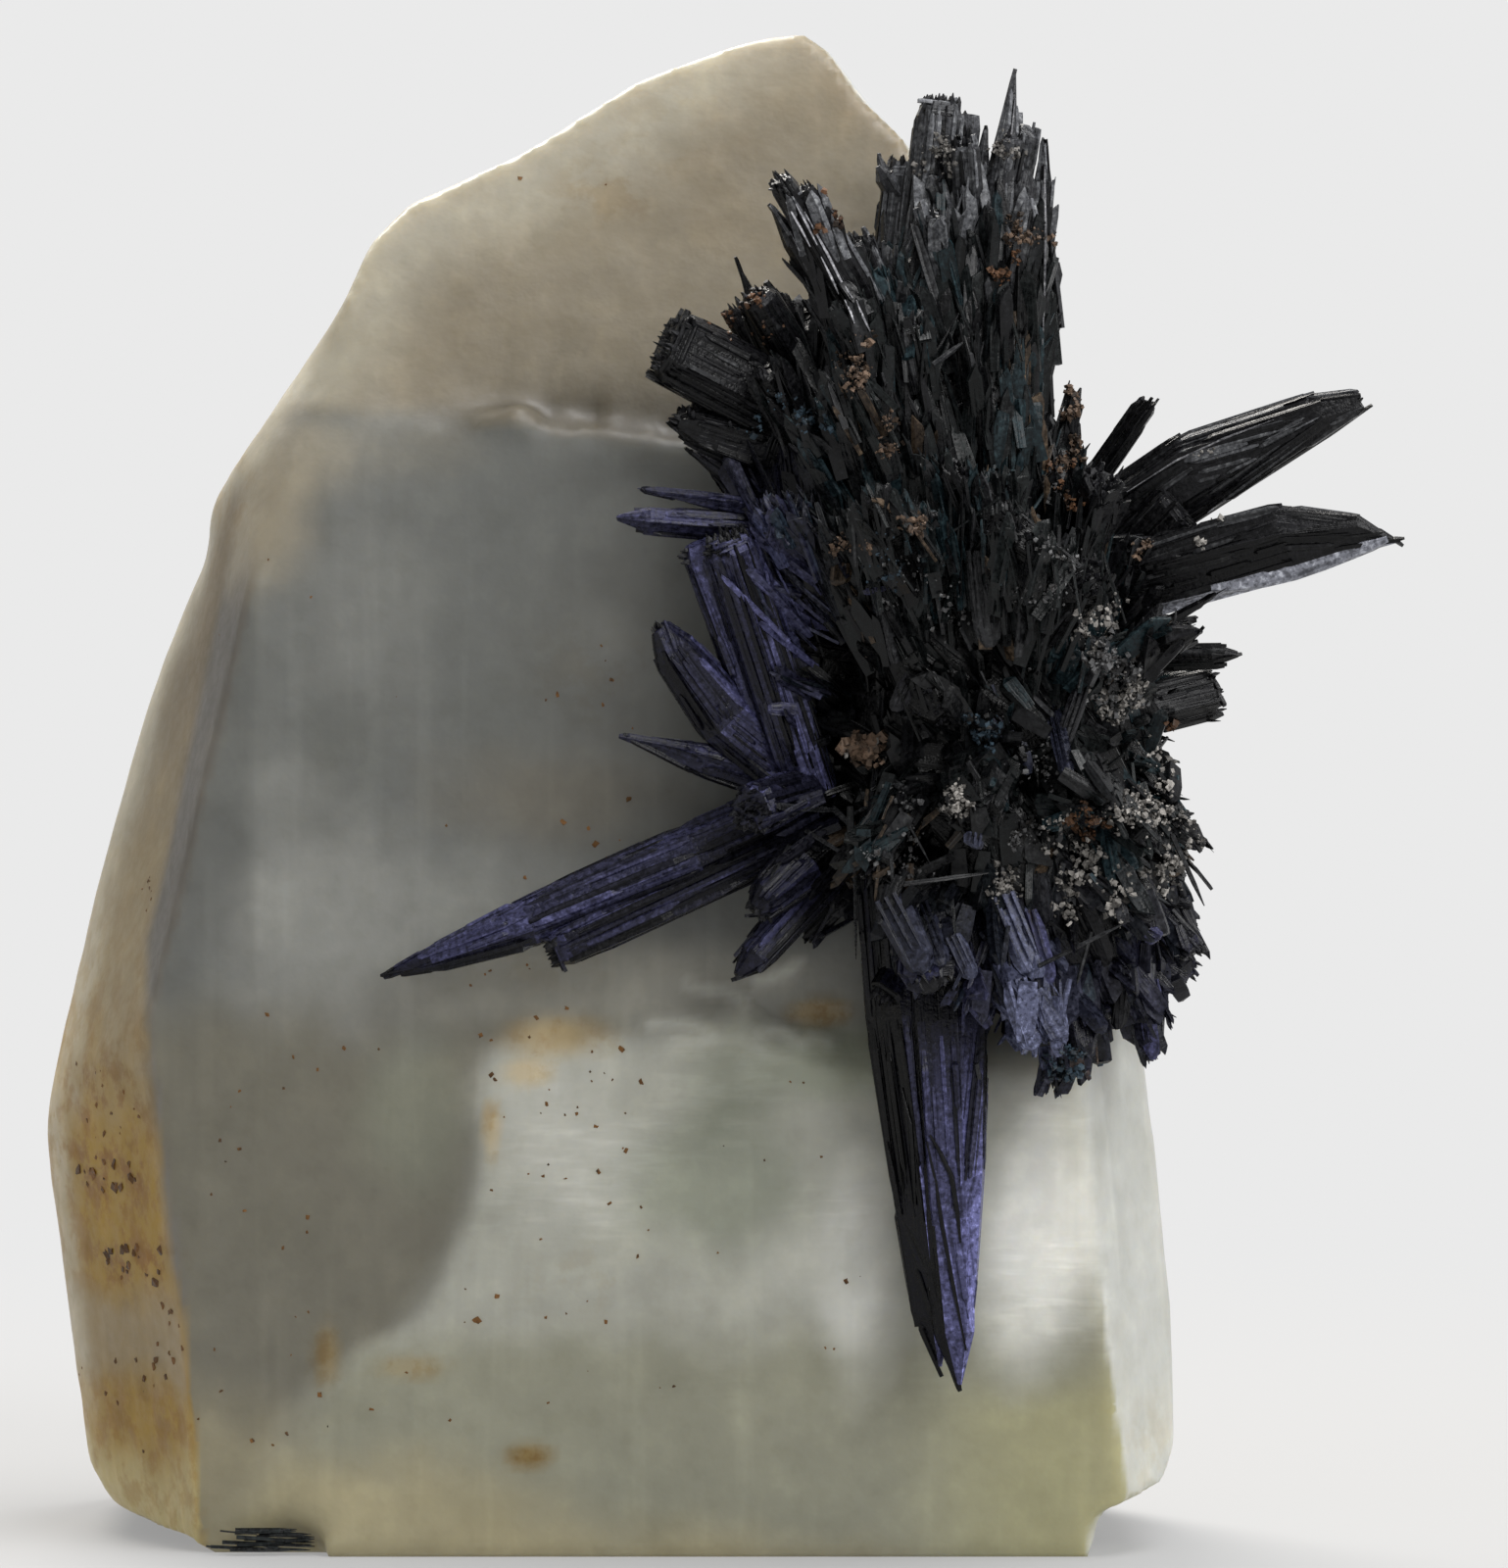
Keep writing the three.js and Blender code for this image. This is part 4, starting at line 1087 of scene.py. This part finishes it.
# Short blades low on the mass: root and tip in photo pixels, width in millimetres, tone
STUBS = [
    ((905, 915), (945, 992), 1.5, SLATE * 0.24), ((940, 925), (962, 985), 1.0, SLATE * 0.2),
    ((972, 955), (1001, 1018), 0.9, SLATE * 0.45), ((1024, 915), (1058, 998), 1.5, SLATE),
    ((1050, 930), (1072, 1005), 0.9, VIOLET), ((1036, 1000), (1056, 1070), 1.4, SLATE * 1.3),
    ((1162, 985), (1178, 1088), 0.8, VIOLET * 1.1), ((1178, 1000), (1188, 1088), 0.5, VIOLET * 0.8),
    ((1172, 952), (1214, 982), 0.8, VIOLET * 0.7), ((1150, 985), (1140, 1060), 0.8, BLACK * 1.6),
    ((1186, 918), (1219, 925), 0.5, BLACK * 2), ((930, 975), (985, 1055), 1.3, BLACK * 1.4),
    ((1092, 905), (1130, 985), 1.2, BLACK * 1.8), ((1120, 900), (1175, 940), 0.9, BLACK * 2.4),
    ((995, 850), (985, 930), 0.9, SLATE * 0.35), ((860, 905), (838, 985), 0.8, BLACK * 1.5),
    ((1010, 700), (1050, 790), 1.0, SLATE * 0.25), ((1075, 725), (1092, 800), 0.8, SLATE * 0.25),
    ((930, 690), (905, 745), 0.8, BLACK * 2), ((1105, 700), (1080, 770), 0.8, BLACK * 2.2),
    ((1000, 560), (1010, 660), 1.3, GREY * 0.8), ((895, 600), (905, 690), 1.2, VIOLET * 0.45),
    ((860, 575), (850, 640), 0.9, RUSTY * 0.5), ((960, 560), (930, 640), 0.9, GREEN * 1.2),
]
STUB_RING = np.array([(-1, 0), (-0.55, -0.6), (0.5, -0.55), (1, 0), (0.5, 0.6), (-0.5, 0.6)])
STUB_STATIONS = [(0, 0.7), (0.25, 1.0), (0.8, 0.9), (0.92, 0.72), (1, 0.3)]


def build_stubs(surface, covered, material, rng):
    """Short, blunt blades over the lower mass, each with a few ridges."""
    heap = Heap()
    for (ax, ay), (bx, by), width, tone in STUBS:
        root, tip = seen_on(covered, ax, ay), seen_on(covered, bx, by)
        if tip is None or tip[1] > root[1] + 2:
            tip = root + ((bx - ax) * PIXEL, 0, (ay - by) * PIXEL)
        root, tip = root + (0, 0.3, 0), tip - (0, 0.1, 0)
        while off(surface, tip) > NEEDLE_REACH:
            tip = root + 0.93 * (tip - root)
        length = np.linalg.norm(tip - root)
        axis = (tip - root) / length
        across = unit(np.cross(axis, (rng.uniform(-0.4, 0.4), 1, rng.uniform(-0.2, 0.2))))
        through = np.cross(axis, across)
        slant = rng.uniform(-0.5, 0.5) * width
        rings = []
        for along, scale in STUB_STATIONS:
            ring = STUB_RING * (width / 2, width / 3) * scale
            at = root + axis * length * along
            skew = np.outer(ring[:, 0] / width * slant * along**4, axis)
            rings.append(at + ring[:, :1] * across + ring[:, 1:] * through + skew)
        heap.loft(rings, tone, [along * length for along, _ in STUB_STATIONS], rng.uniform(0, GRAIN_SHIFT))
        toward = through if through[1] < 0 else -through
        for shift in (-0.3, -0.05, 0.2):
            start = root + across * width * shift + toward * width * 0.28
            end = start + axis * length * rng.uniform(0.7, 0.97)
            needle(heap, start, end, 0.12 * width + 0.05, tone * rng.uniform(0.5, 1.3), rng)
    heap.piece("aegirine_stubs", material, "aegirine")


SPLINTERS = 22  # for each square millimetre


def build_ends(faces, material, rng):
    """Splintered ends of the blunt crystals."""
    heap = Heap()
    away = unit(faces.middle - SPRAY_MIDDLE)
    blunt = (np.einsum("fc,fc->f", faces.normal, away) > 0.7) & (faces.area > 0.12) & (faces.area < 4.5)
    along = [faces.points[faces.tris[m]].reshape(-1, 3) @ run for m, run in zip(faces.members, faces.run)]
    blunt &= faces.area > 0.3 * np.array([np.ptp(reach) for reach in along]) ** 2
    spots, owner = faces.spots(int(SPLINTERS * faces.area[blunt].sum()), blunt * 1.0, rng)
    for spot, face in zip(spots, owner):
        normal = faces.normal[face]
        lean = normal + rng.normal(0, 0.06, 3)
        tip = spot + lean * rng.uniform(0.02, 0.5) ** 1.3
        width = rng.uniform(0.12, 0.36)
        needle(heap, spot - normal * 0.4, tip, width, BLACK * rng.uniform(0.6, 3), rng)
    heap.piece("aegirine_splinters", material, "aegirine")


# Painted shade of grooves, and painted highlights, both laid on thin raised strips
GROOVE_SHADE, GLINT = BLACK * 0.5, np.array([0.42, 0.42, 0.45])
MARK_RISE = 0.1  # millimetres

# Lines on single blades: width in millimetres, tone, and points in photo pixels
# The marks paint the shade of grooves, highlights on striations and a reflection of the pale floor
MARKS = [
    (0.24, GROOVE_SHADE, [(949, 1158), (960, 1177), (971, 1200), (977, 1237), (980, 1268)]),
    (0.22, GROOVE_SHADE, [(946, 1165), (955, 1207), (962, 1253), (973, 1313), (986, 1378)]),
    (0.20, GROOVE_SHADE, [(920, 1110), (929, 1147), (932, 1193), (934, 1230)]),
    (0.16, GROOVE_SHADE, [(905, 1165), (912, 1200), (920, 1240)]),
    (0.12, GLINT, [(802, 206), (812, 224), (820, 238), (827, 252)]),
    (0.14, GLINT, [(821, 216), (833, 238), (846, 262), (858, 286), (870, 304)]),
    (0.12, GLINT, [(812, 208), (824, 230), (834, 250)]),
    (0.12, GLINT, [(838, 262), (848, 282), (856, 300)]),
    (0.12, GLINT, [(862, 306), (868, 318), (872, 330)]),
    (0.12, GLINT, [(874, 306), (880, 322), (888, 338)]),
    (0.10, GLINT * 0.6, [(795, 212), (806, 236), (816, 256)]),
    (0.12, GLINT * 0.4, [(1066, 170), (1067, 230), (1066, 300), (1064, 352)]),
    (0.10, GLINT * 0.4, [(1036, 100), (1032, 140), (1026, 176)]),
    (0.10, GLINT * 0.4, [(1150, 502), (1200, 470), (1250, 447), (1300, 428)]),
    (0.8, FLOOR_REFLECTION * 0.72, [(1236, 600), (1260, 597), (1290, 590), (1320, 582), (1350, 572), (1380, 562),
                        (1400, 556), (1416, 550)]),
]


def ribbon(heap, surface, pixels, width, tone):
    """A thin raised strip, tapered to both ends, that lies on a surface along a line in photo pixels."""
    hits = [seen_on(surface, px, py) for px, py in pixels]
    points = np.array([hit for hit in hits if hit is not None])
    if len(points) < 2:
        return
    step = np.gradient(points, axis=0)
    lengths = np.concatenate([[0], np.cumsum(np.linalg.norm(np.diff(points, axis=0), axis=1))])
    side = unit(np.stack([step[:, 2], np.zeros(len(points)), -step[:, 0]], axis=1))
    taper = np.sin(np.pi * (lengths / lengths[-1] * 0.86 + 0.07))[:, None] ** 0.6
    half, out = side * width * taper / 2, np.array([0, -MARK_RISE, 0])
    ring = [points - half - out, points - half * 0.7 + out, points + half * 0.7 + out, points + half - out]
    heap.loft(np.stack(ring, axis=1), tone, lengths, 0.0)


def build_marks(covered, material, rng):
    """Painted shade of grooves, painted highlights along the striations, and the pale lower side of a
    blade, a painted reflection of the floor.
    """
    heap = Heap()
    for width, tone, pixels in MARKS:
        ribbon(heap, covered, pixels, width * rng.uniform(0.9, 1.1), tone)
    heap.piece("aegirine_painted_marks", material, "aegirine")


PALE_GRAIN = linear(152, 148, 143)
TAN_GRAIN = linear(104, 86, 72)
RUST_GRAIN = linear(98, 70, 50)
GREY_GRAIN = linear(104, 104, 105)
BLUE_GRAIN = linear(58, 74, 86)

# Grains on the spray: middle and spread in photo pixels, how many, size in millimetres, tone
GRAINS = [
    (858, 195, 12, 24, 0.20, RUST_GRAIN), (850, 230, 16, 40, 0.20, RUST_GRAIN),
    (1035, 240, 24, 70, 0.20, TAN_GRAIN), (1030, 275, 16, 40, 0.20, RUST_GRAIN),
    (875, 372, 28, 90, 0.20, TAN_GRAIN), (905, 440, 20, 50, 0.20, TAN_GRAIN),
    (930, 530, 18, 40, 0.22, TAN_GRAIN), (860, 555, 18, 40, 0.20, TAN_GRAIN),
    (1085, 415, 20, 70, 0.22, TAN_GRAIN), (1095, 455, 18, 70, 0.22, TAN_GRAIN),
    (1080, 480, 22, 40, 0.20, RUST_GRAIN), (770, 320, 40, 50, 0.20, RUST_GRAIN),
    (1135, 690, 30, 220, 0.22, GREY_GRAIN), (1125, 640, 22, 80, 0.22, PALE_GRAIN),
    (1145, 715, 24, 110, 0.22, PALE_GRAIN), (1195, 738, 9, 16, 0.26, RUST_GRAIN),
    (980, 822, 18, 90, 0.22, PALE_GRAIN), (1050, 845, 22, 60, 0.20, GREY_GRAIN),
    (1105, 838, 20, 90, 0.22, RUST_GRAIN), (1115, 885, 36, 120, 0.24, PALE_GRAIN * 1.1),
    (1100, 872, 24, 80, 0.20, PALE_GRAIN), (1170, 830, 40, 200, 0.22, PALE_GRAIN * 1.3),
    (1195, 880, 30, 80, 0.22, PALE_GRAIN), (1040, 900, 26, 60, 0.20, PALE_GRAIN),
    (1095, 1085, 20, 110, 0.22, BLUE_GRAIN), (1000, 745, 16, 70, 0.24, BLUE_GRAIN),
    (800, 420, 36, 60, 0.20, BLUE_GRAIN), (1050, 760, 50, 50, 0.18, GREY_GRAIN),
    (980, 600, 60, 50, 0.18, GREY_GRAIN), (900, 620, 60, 30, 0.18, BLUE_GRAIN),
    (1060, 600, 40, 50, 0.18, GREY_GRAIN), (940, 860, 40, 60, 0.18, GREY_GRAIN),
    (1240, 520, 12, 8, 0.24, PALE_GRAIN), (1225, 555, 8, 6, 0.24, PALE_GRAIN),
    (1170, 560, 20, 20, 0.22, TAN_GRAIN), (1240, 455, 26, 8, 0.2, PALE_GRAIN),
    (960, 160, 30, 60, 0.18, PALE_GRAIN * 0.7), (1030, 150, 16, 40, 0.18, PALE_GRAIN * 0.7),
]
CLUMP_SPREAD, GRAIN_SPREAD = 0.55, 0.2  # shares of the spread: clumps, and the grains of one clump

# The tan feldspar block in the middle of the mass: photo pixel, about twice the size of its grains in
# millimetres, how many grains
BLOCK_PIXEL = (885, 765)
BLOCK_SIZE = 0.95
BLOCK_GRAINS = 90


def rough_block(size, rng):
    """Corners and faces of a small broken block."""
    corners = np.array([(i, j, k) for i in (-1, 1) for j in (-1, 1) for k in (-1, 1)], float)
    corners = corners * rng.uniform(0.35, 1.0, (8, 3)) * rng.uniform(0.5, 1.3, 3) * size / 2
    turn = np.linalg.qr(rng.normal(size=(3, 3)))[0]
    if np.linalg.det(turn) < 0:
        turn[:, 0] = -turn[:, 0]
    faces = [(0, 1, 3, 2), (4, 6, 7, 5), (0, 4, 5, 1), (2, 3, 7, 6), (0, 2, 6, 4), (1, 5, 7, 3)]
    return corners @ turn.T, faces


def build_grains(surface, material, rng):
    """Small feldspar and rusty grains that sit on the spray."""
    heap = Heap()
    for px, py, spread, count, size, tone in GRAINS:
        clumps = np.array([px, py]) + rng.normal(0, CLUMP_SPREAD * spread, (2 + count // 16, 2))
        for clump in clumps[rng.integers(0, len(clumps), int(1.5 * count))]:
            hit = seen_on(surface, *(clump + rng.normal(0, GRAIN_SPREAD * spread, 2)))
            if hit is None:
                continue
            points, faces = rough_block(size * (0.35 + 1.1 * rng.random() ** 2), rng)
            heap.lump(points + hit + (0, rng.uniform(-0.35, 0.05), 0), faces, tone * rng.uniform(0.1, 1.2))
    hit = seen_on(surface, *BLOCK_PIXEL)
    for _ in range(BLOCK_GRAINS):
        points, faces = rough_block(BLOCK_SIZE * rng.uniform(0.2, 0.6), rng)
        away = rng.normal(0, 1, 3) * (0.42, 0.2, 0.3) - (0, 0.2, 0)
        tone = PALE_GRAIN if rng.random() < 0.2 else TAN_GRAIN
        heap.lump(points + hit + away, faces, tone * rng.uniform(0.2, 1.3))
    heap.piece("feldspar_grains", material, "orthoclase")


# Rusty specks in the stone: middle, half width and half height of the scatter in photo pixels, how many,
# size in millimetres
SPECKS = [
    (105, 1205, 36, 18, 16, 0.30), (138, 1295, 34, 20, 18, 0.30), (165, 1360, 25, 60, 14, 0.24),
    (110, 1130, 40, 40, 14, 0.17), (148, 915, 6, 20, 8, 0.13), (110, 1450, 40, 60, 8, 0.13),
    (270, 1300, 70, 200, 18, 0.13), (330, 1080, 70, 50, 6, 0.14), (590, 1180, 90, 110, 26, 0.15),
    (545, 1330, 80, 20, 8, 0.16), (620, 1080, 20, 26, 5, 0.17), (800, 1200, 90, 110, 8, 0.12),
    (600, 690, 50, 60, 8, 0.13), (600, 840, 60, 50, 6, 0.13), (520, 1020, 70, 50, 10, 0.12),
    (360, 1440, 160, 60, 6, 0.12), (700, 1400, 300, 80, 6, 0.12), (500, 150, 200, 100, 3, 0.12),
    (400, 700, 200, 200, 6, 0.10),
]
SPECK = linear(104, 72, 38)


def build_specks(material, rng):
    """Rusty specks on the stone."""
    stone = bpy.data.objects["orthoclase_stone"].data
    corners = [v.co / MM for v in stone.vertices]
    surface = BVHTree.FromPolygons(corners, [f.vertices[:] for f in stone.polygons])
    heap = Heap()
    for px, py, wide, high, count, size in SPECKS:
        for _ in range(count):
            x, z = from_photo(*(np.array([px, py]) + rng.uniform(-1, 1, 2) * (wide, high)))
            hit, normal = surface.ray_cast(Vector((x, -60, z)), Vector((0, 1, 0)))[:2]
            if hit is None:
                continue
            lump, faces = rough_block(size * rng.uniform(0.6, 2.1), rng)
            normal = np.array(normal)
            lump = lump - np.outer(lump @ normal, normal) * 0.75
            heap.lump(lump + np.array(hit), faces, SPECK * rng.uniform(0.5, 1.3))
    heap.piece("stone_specks", material, "orthoclase")


FOOT_NEEDLES = 26


def build_foot_needles(material, rng):
    """The loose needles at the foot, split into finer ones."""
    points, _ = node_mesh("aegirine_needles")
    low, high = points.min(axis=0), points.max(axis=0)
    heap = Heap()
    for _ in range(FOOT_NEEDLES):
        x = rng.uniform(low[0], high[0] - 1.2)
        reach = min(rng.uniform(0.8, 3.2), high[0] - x)
        root = np.array([x, rng.uniform(low[1], high[1]), rng.uniform(low[2], high[2])])
        tip = root + (reach, rng.uniform(-0.05, 0.05), rng.uniform(-0.22, 0.12))
        tip[2] = np.clip(tip[2], low[2], high[2])
        needle(heap, root, tip, rng.uniform(0.1, 0.26), GREEN * rng.uniform(0.6, 2.0), rng)
    piece = heap.piece("foot_needles", material, "aegirine")
    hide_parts("aegirine_needles")


# How far the tips of the lower fringe are drawn up, across x, in millimetres: gaps lie where they rise most
FRINGE_X = (10.6, 11.4, 12.4, 13.0, 15.0, 15.5, 16.4, 16.9)
FRINGE_LIFT = (0, 1.8, 1.8, 0.6, 0.6, 1.7, 1.7, 0.5)
HANGING_X = 9.65  # middle line of the hanging blade's tip
LOWER_BLADE = 40.7  # height of the lower right blade


def fitted(points):
    """Points of the spray with its fringe, right blades and hanging tip drawn to the photograph."""
    x, y, z = points.T
    lift = np.interp(x, FRINGE_X, FRINGE_LIFT) * under(z, 20.5, 25)
    leaf = np.interp(x, (19, 22.6, 25.8, 27.4), (0, 0.5, 0.3, -0.2))
    leaf = leaf * under(np.abs(z - LOWER_BLADE), 1.7, 2.1)
    lift = lift + leaf * (1 + 0.8 * smooth(z, 40.4, 41.8))
    lift = lift - 0.75 * smooth(x, 21, 23.5) * smooth(z, 46.3, 47.8)
    widened = 1 + 0.45 * under(z, 8.5, 13)
    return np.stack([HANGING_X + (x - HANGING_X) * widened, y, z + lift], axis=1)


def build_spray():
    """The crystals of the spray and everything that lies on them."""
    points, tris = node_mesh("aegirine_spray")
    points = fitted(points)
    faces = Faces(points, tris)
    surface = BVHTree.FromPolygons([Vector(p) for p in points], tris.tolist())
    seeded = np.random.default_rng
    build_crystals(faces, seeded(1))
    fine = aegirine_material("aegirine_fine", fine=0.6)
    slats = build_slats(faces, surface, fine, seeded(2))
    laths = build_laths(faces, surface, fine, seeded(6))
    build_needles(faces, surface, fine, seeded(3))
    all_points, all_faces = points.tolist(), tris.tolist()
    for heap in (slats, laths):
        start = len(all_points)
        all_points.extend(np.concatenate(heap.verts).tolist())
        all_faces.extend([i + start for i in face] for face in heap.faces)
    covered = BVHTree.FromPolygons(all_points, all_faces)
    build_stubs(surface, covered, fine, seeded(8))
    build_ends(faces, fine, seeded(9))
    build_marks(covered, fine, seeded(10))
    grains = grain_material()
    build_grains(covered, grains, seeded(4))
    build_specks(grains, seeded(7))
    build_foot_needles(fine, seeded(5))


# Stage, light and camera

PAPER = float(linear(234, 234, 234)[0])
FLOOR_RADIUS = 1.2  # metres
FLOOR_SIDES = 96
AMBIENT = 0.46
MIDDLE = (0, 0, 0.032)  # where the lights point, in metres


def stage():
    """A pale floor that fades into a pale surround."""
    n = Nodes("floor")
    radius = n.add("ShaderNodeVectorMath", {0: n.place()}, operation="LENGTH").outputs["Value"]
    fade = n.ramp(radius, 0.03, 0.16, 0.35, 1.0)
    n.set(Base_Color=(0.37, 0.37, 0.37, 1), Roughness=0.9, Specular_IOR_Level=0.1)
    glow = n.add("ShaderNodeEmission", {"Color": (PAPER, PAPER, PAPER, 1), "Strength": 1.0})
    blend = n.add("ShaderNodeMixShader", {0: fade, 1: n.shader.outputs[0], 2: glow.outputs[0]})
    n.tree.links.new(blend.outputs[0], n.tree.nodes["Material Output"].inputs["Surface"])
    mesh = bpy.data.meshes.new("floor")
    turns = np.arange(FLOOR_SIDES) * math.tau / FLOOR_SIDES
    rim = [(FLOOR_RADIUS * math.cos(a), FLOOR_RADIUS * math.sin(a), 0) for a in turns]
    mesh.from_pydata(rim, [], [list(range(FLOOR_SIDES))])
    mesh.materials.append(n.material)
    floor = placed("floor", mesh)
    world = bpy.data.worlds.new("surround")
    world.use_nodes = True
    tree = world.node_tree
    seen = tree.nodes["Background"]
    seen.inputs["Color"].default_value = (PAPER, PAPER, PAPER, 1)
    room = tree.nodes.new("ShaderNodeBackground")
    room.inputs["Color"].default_value = (AMBIENT, AMBIENT, AMBIENT, 1)
    choose = tree.nodes.new("ShaderNodeMixShader")
    tree.links.new(tree.nodes.new("ShaderNodeLightPath").outputs["Is Camera Ray"], choose.inputs[0])
    tree.links.new(room.outputs[0], choose.inputs[1])
    tree.links.new(seen.outputs[0], choose.inputs[2])
    tree.links.new(choose.outputs[0], tree.nodes["World Output"].inputs["Surface"])
    bpy.context.scene.world = world


def aimed(name, data, place, aim):
    """A lamp or camera that stands at a place and looks at another, in metres."""
    made = placed(name, data)
    made.location = place
    made.rotation_euler = (Vector(aim) - Vector(place)).to_track_quat("-Z", "Y").to_euler()
    return made


def light(name, place, size, power, tone=(1, 1, 1)):
    """A soft round lamp turned to the specimen."""
    lamp = bpy.data.lights.new(name, "AREA")
    lamp.shape = "DISK"
    lamp.size = size
    lamp.energy = power
    lamp.color = tone
    aimed(name, lamp, place, MIDDLE)


def lights():
    """Soft lamps behind the specimen, above it and at its front right."""
    light("back", (-0.16, 0.46, 0.46), size=0.35, power=5.0, tone=(1, 0.96, 0.9))
    light("top", (0.14, -0.04, 0.60), size=0.40, power=3.2)
    light("key", (0.34, -0.50, 0.36), size=0.42, power=2.7)


def camera():
    """The lens of the photograph."""
    lens = bpy.data.cameras.new("camera")
    lens.sensor_fit = "VERTICAL"
    lens.sensor_height = SENSOR
    lens.lens = SENSOR * LENS_DISTANCE / (PHOTO_HEIGHT * PIXEL)
    lens.clip_start, lens.clip_end = 0.01, 10
    bpy.context.scene.camera = aimed("camera", lens, EYE * MM, AIM * MM)


bpy.context.scene.view_settings.view_transform = "Standard"
camera()
stage()
lights()
build_orthoclase()
build_spray()
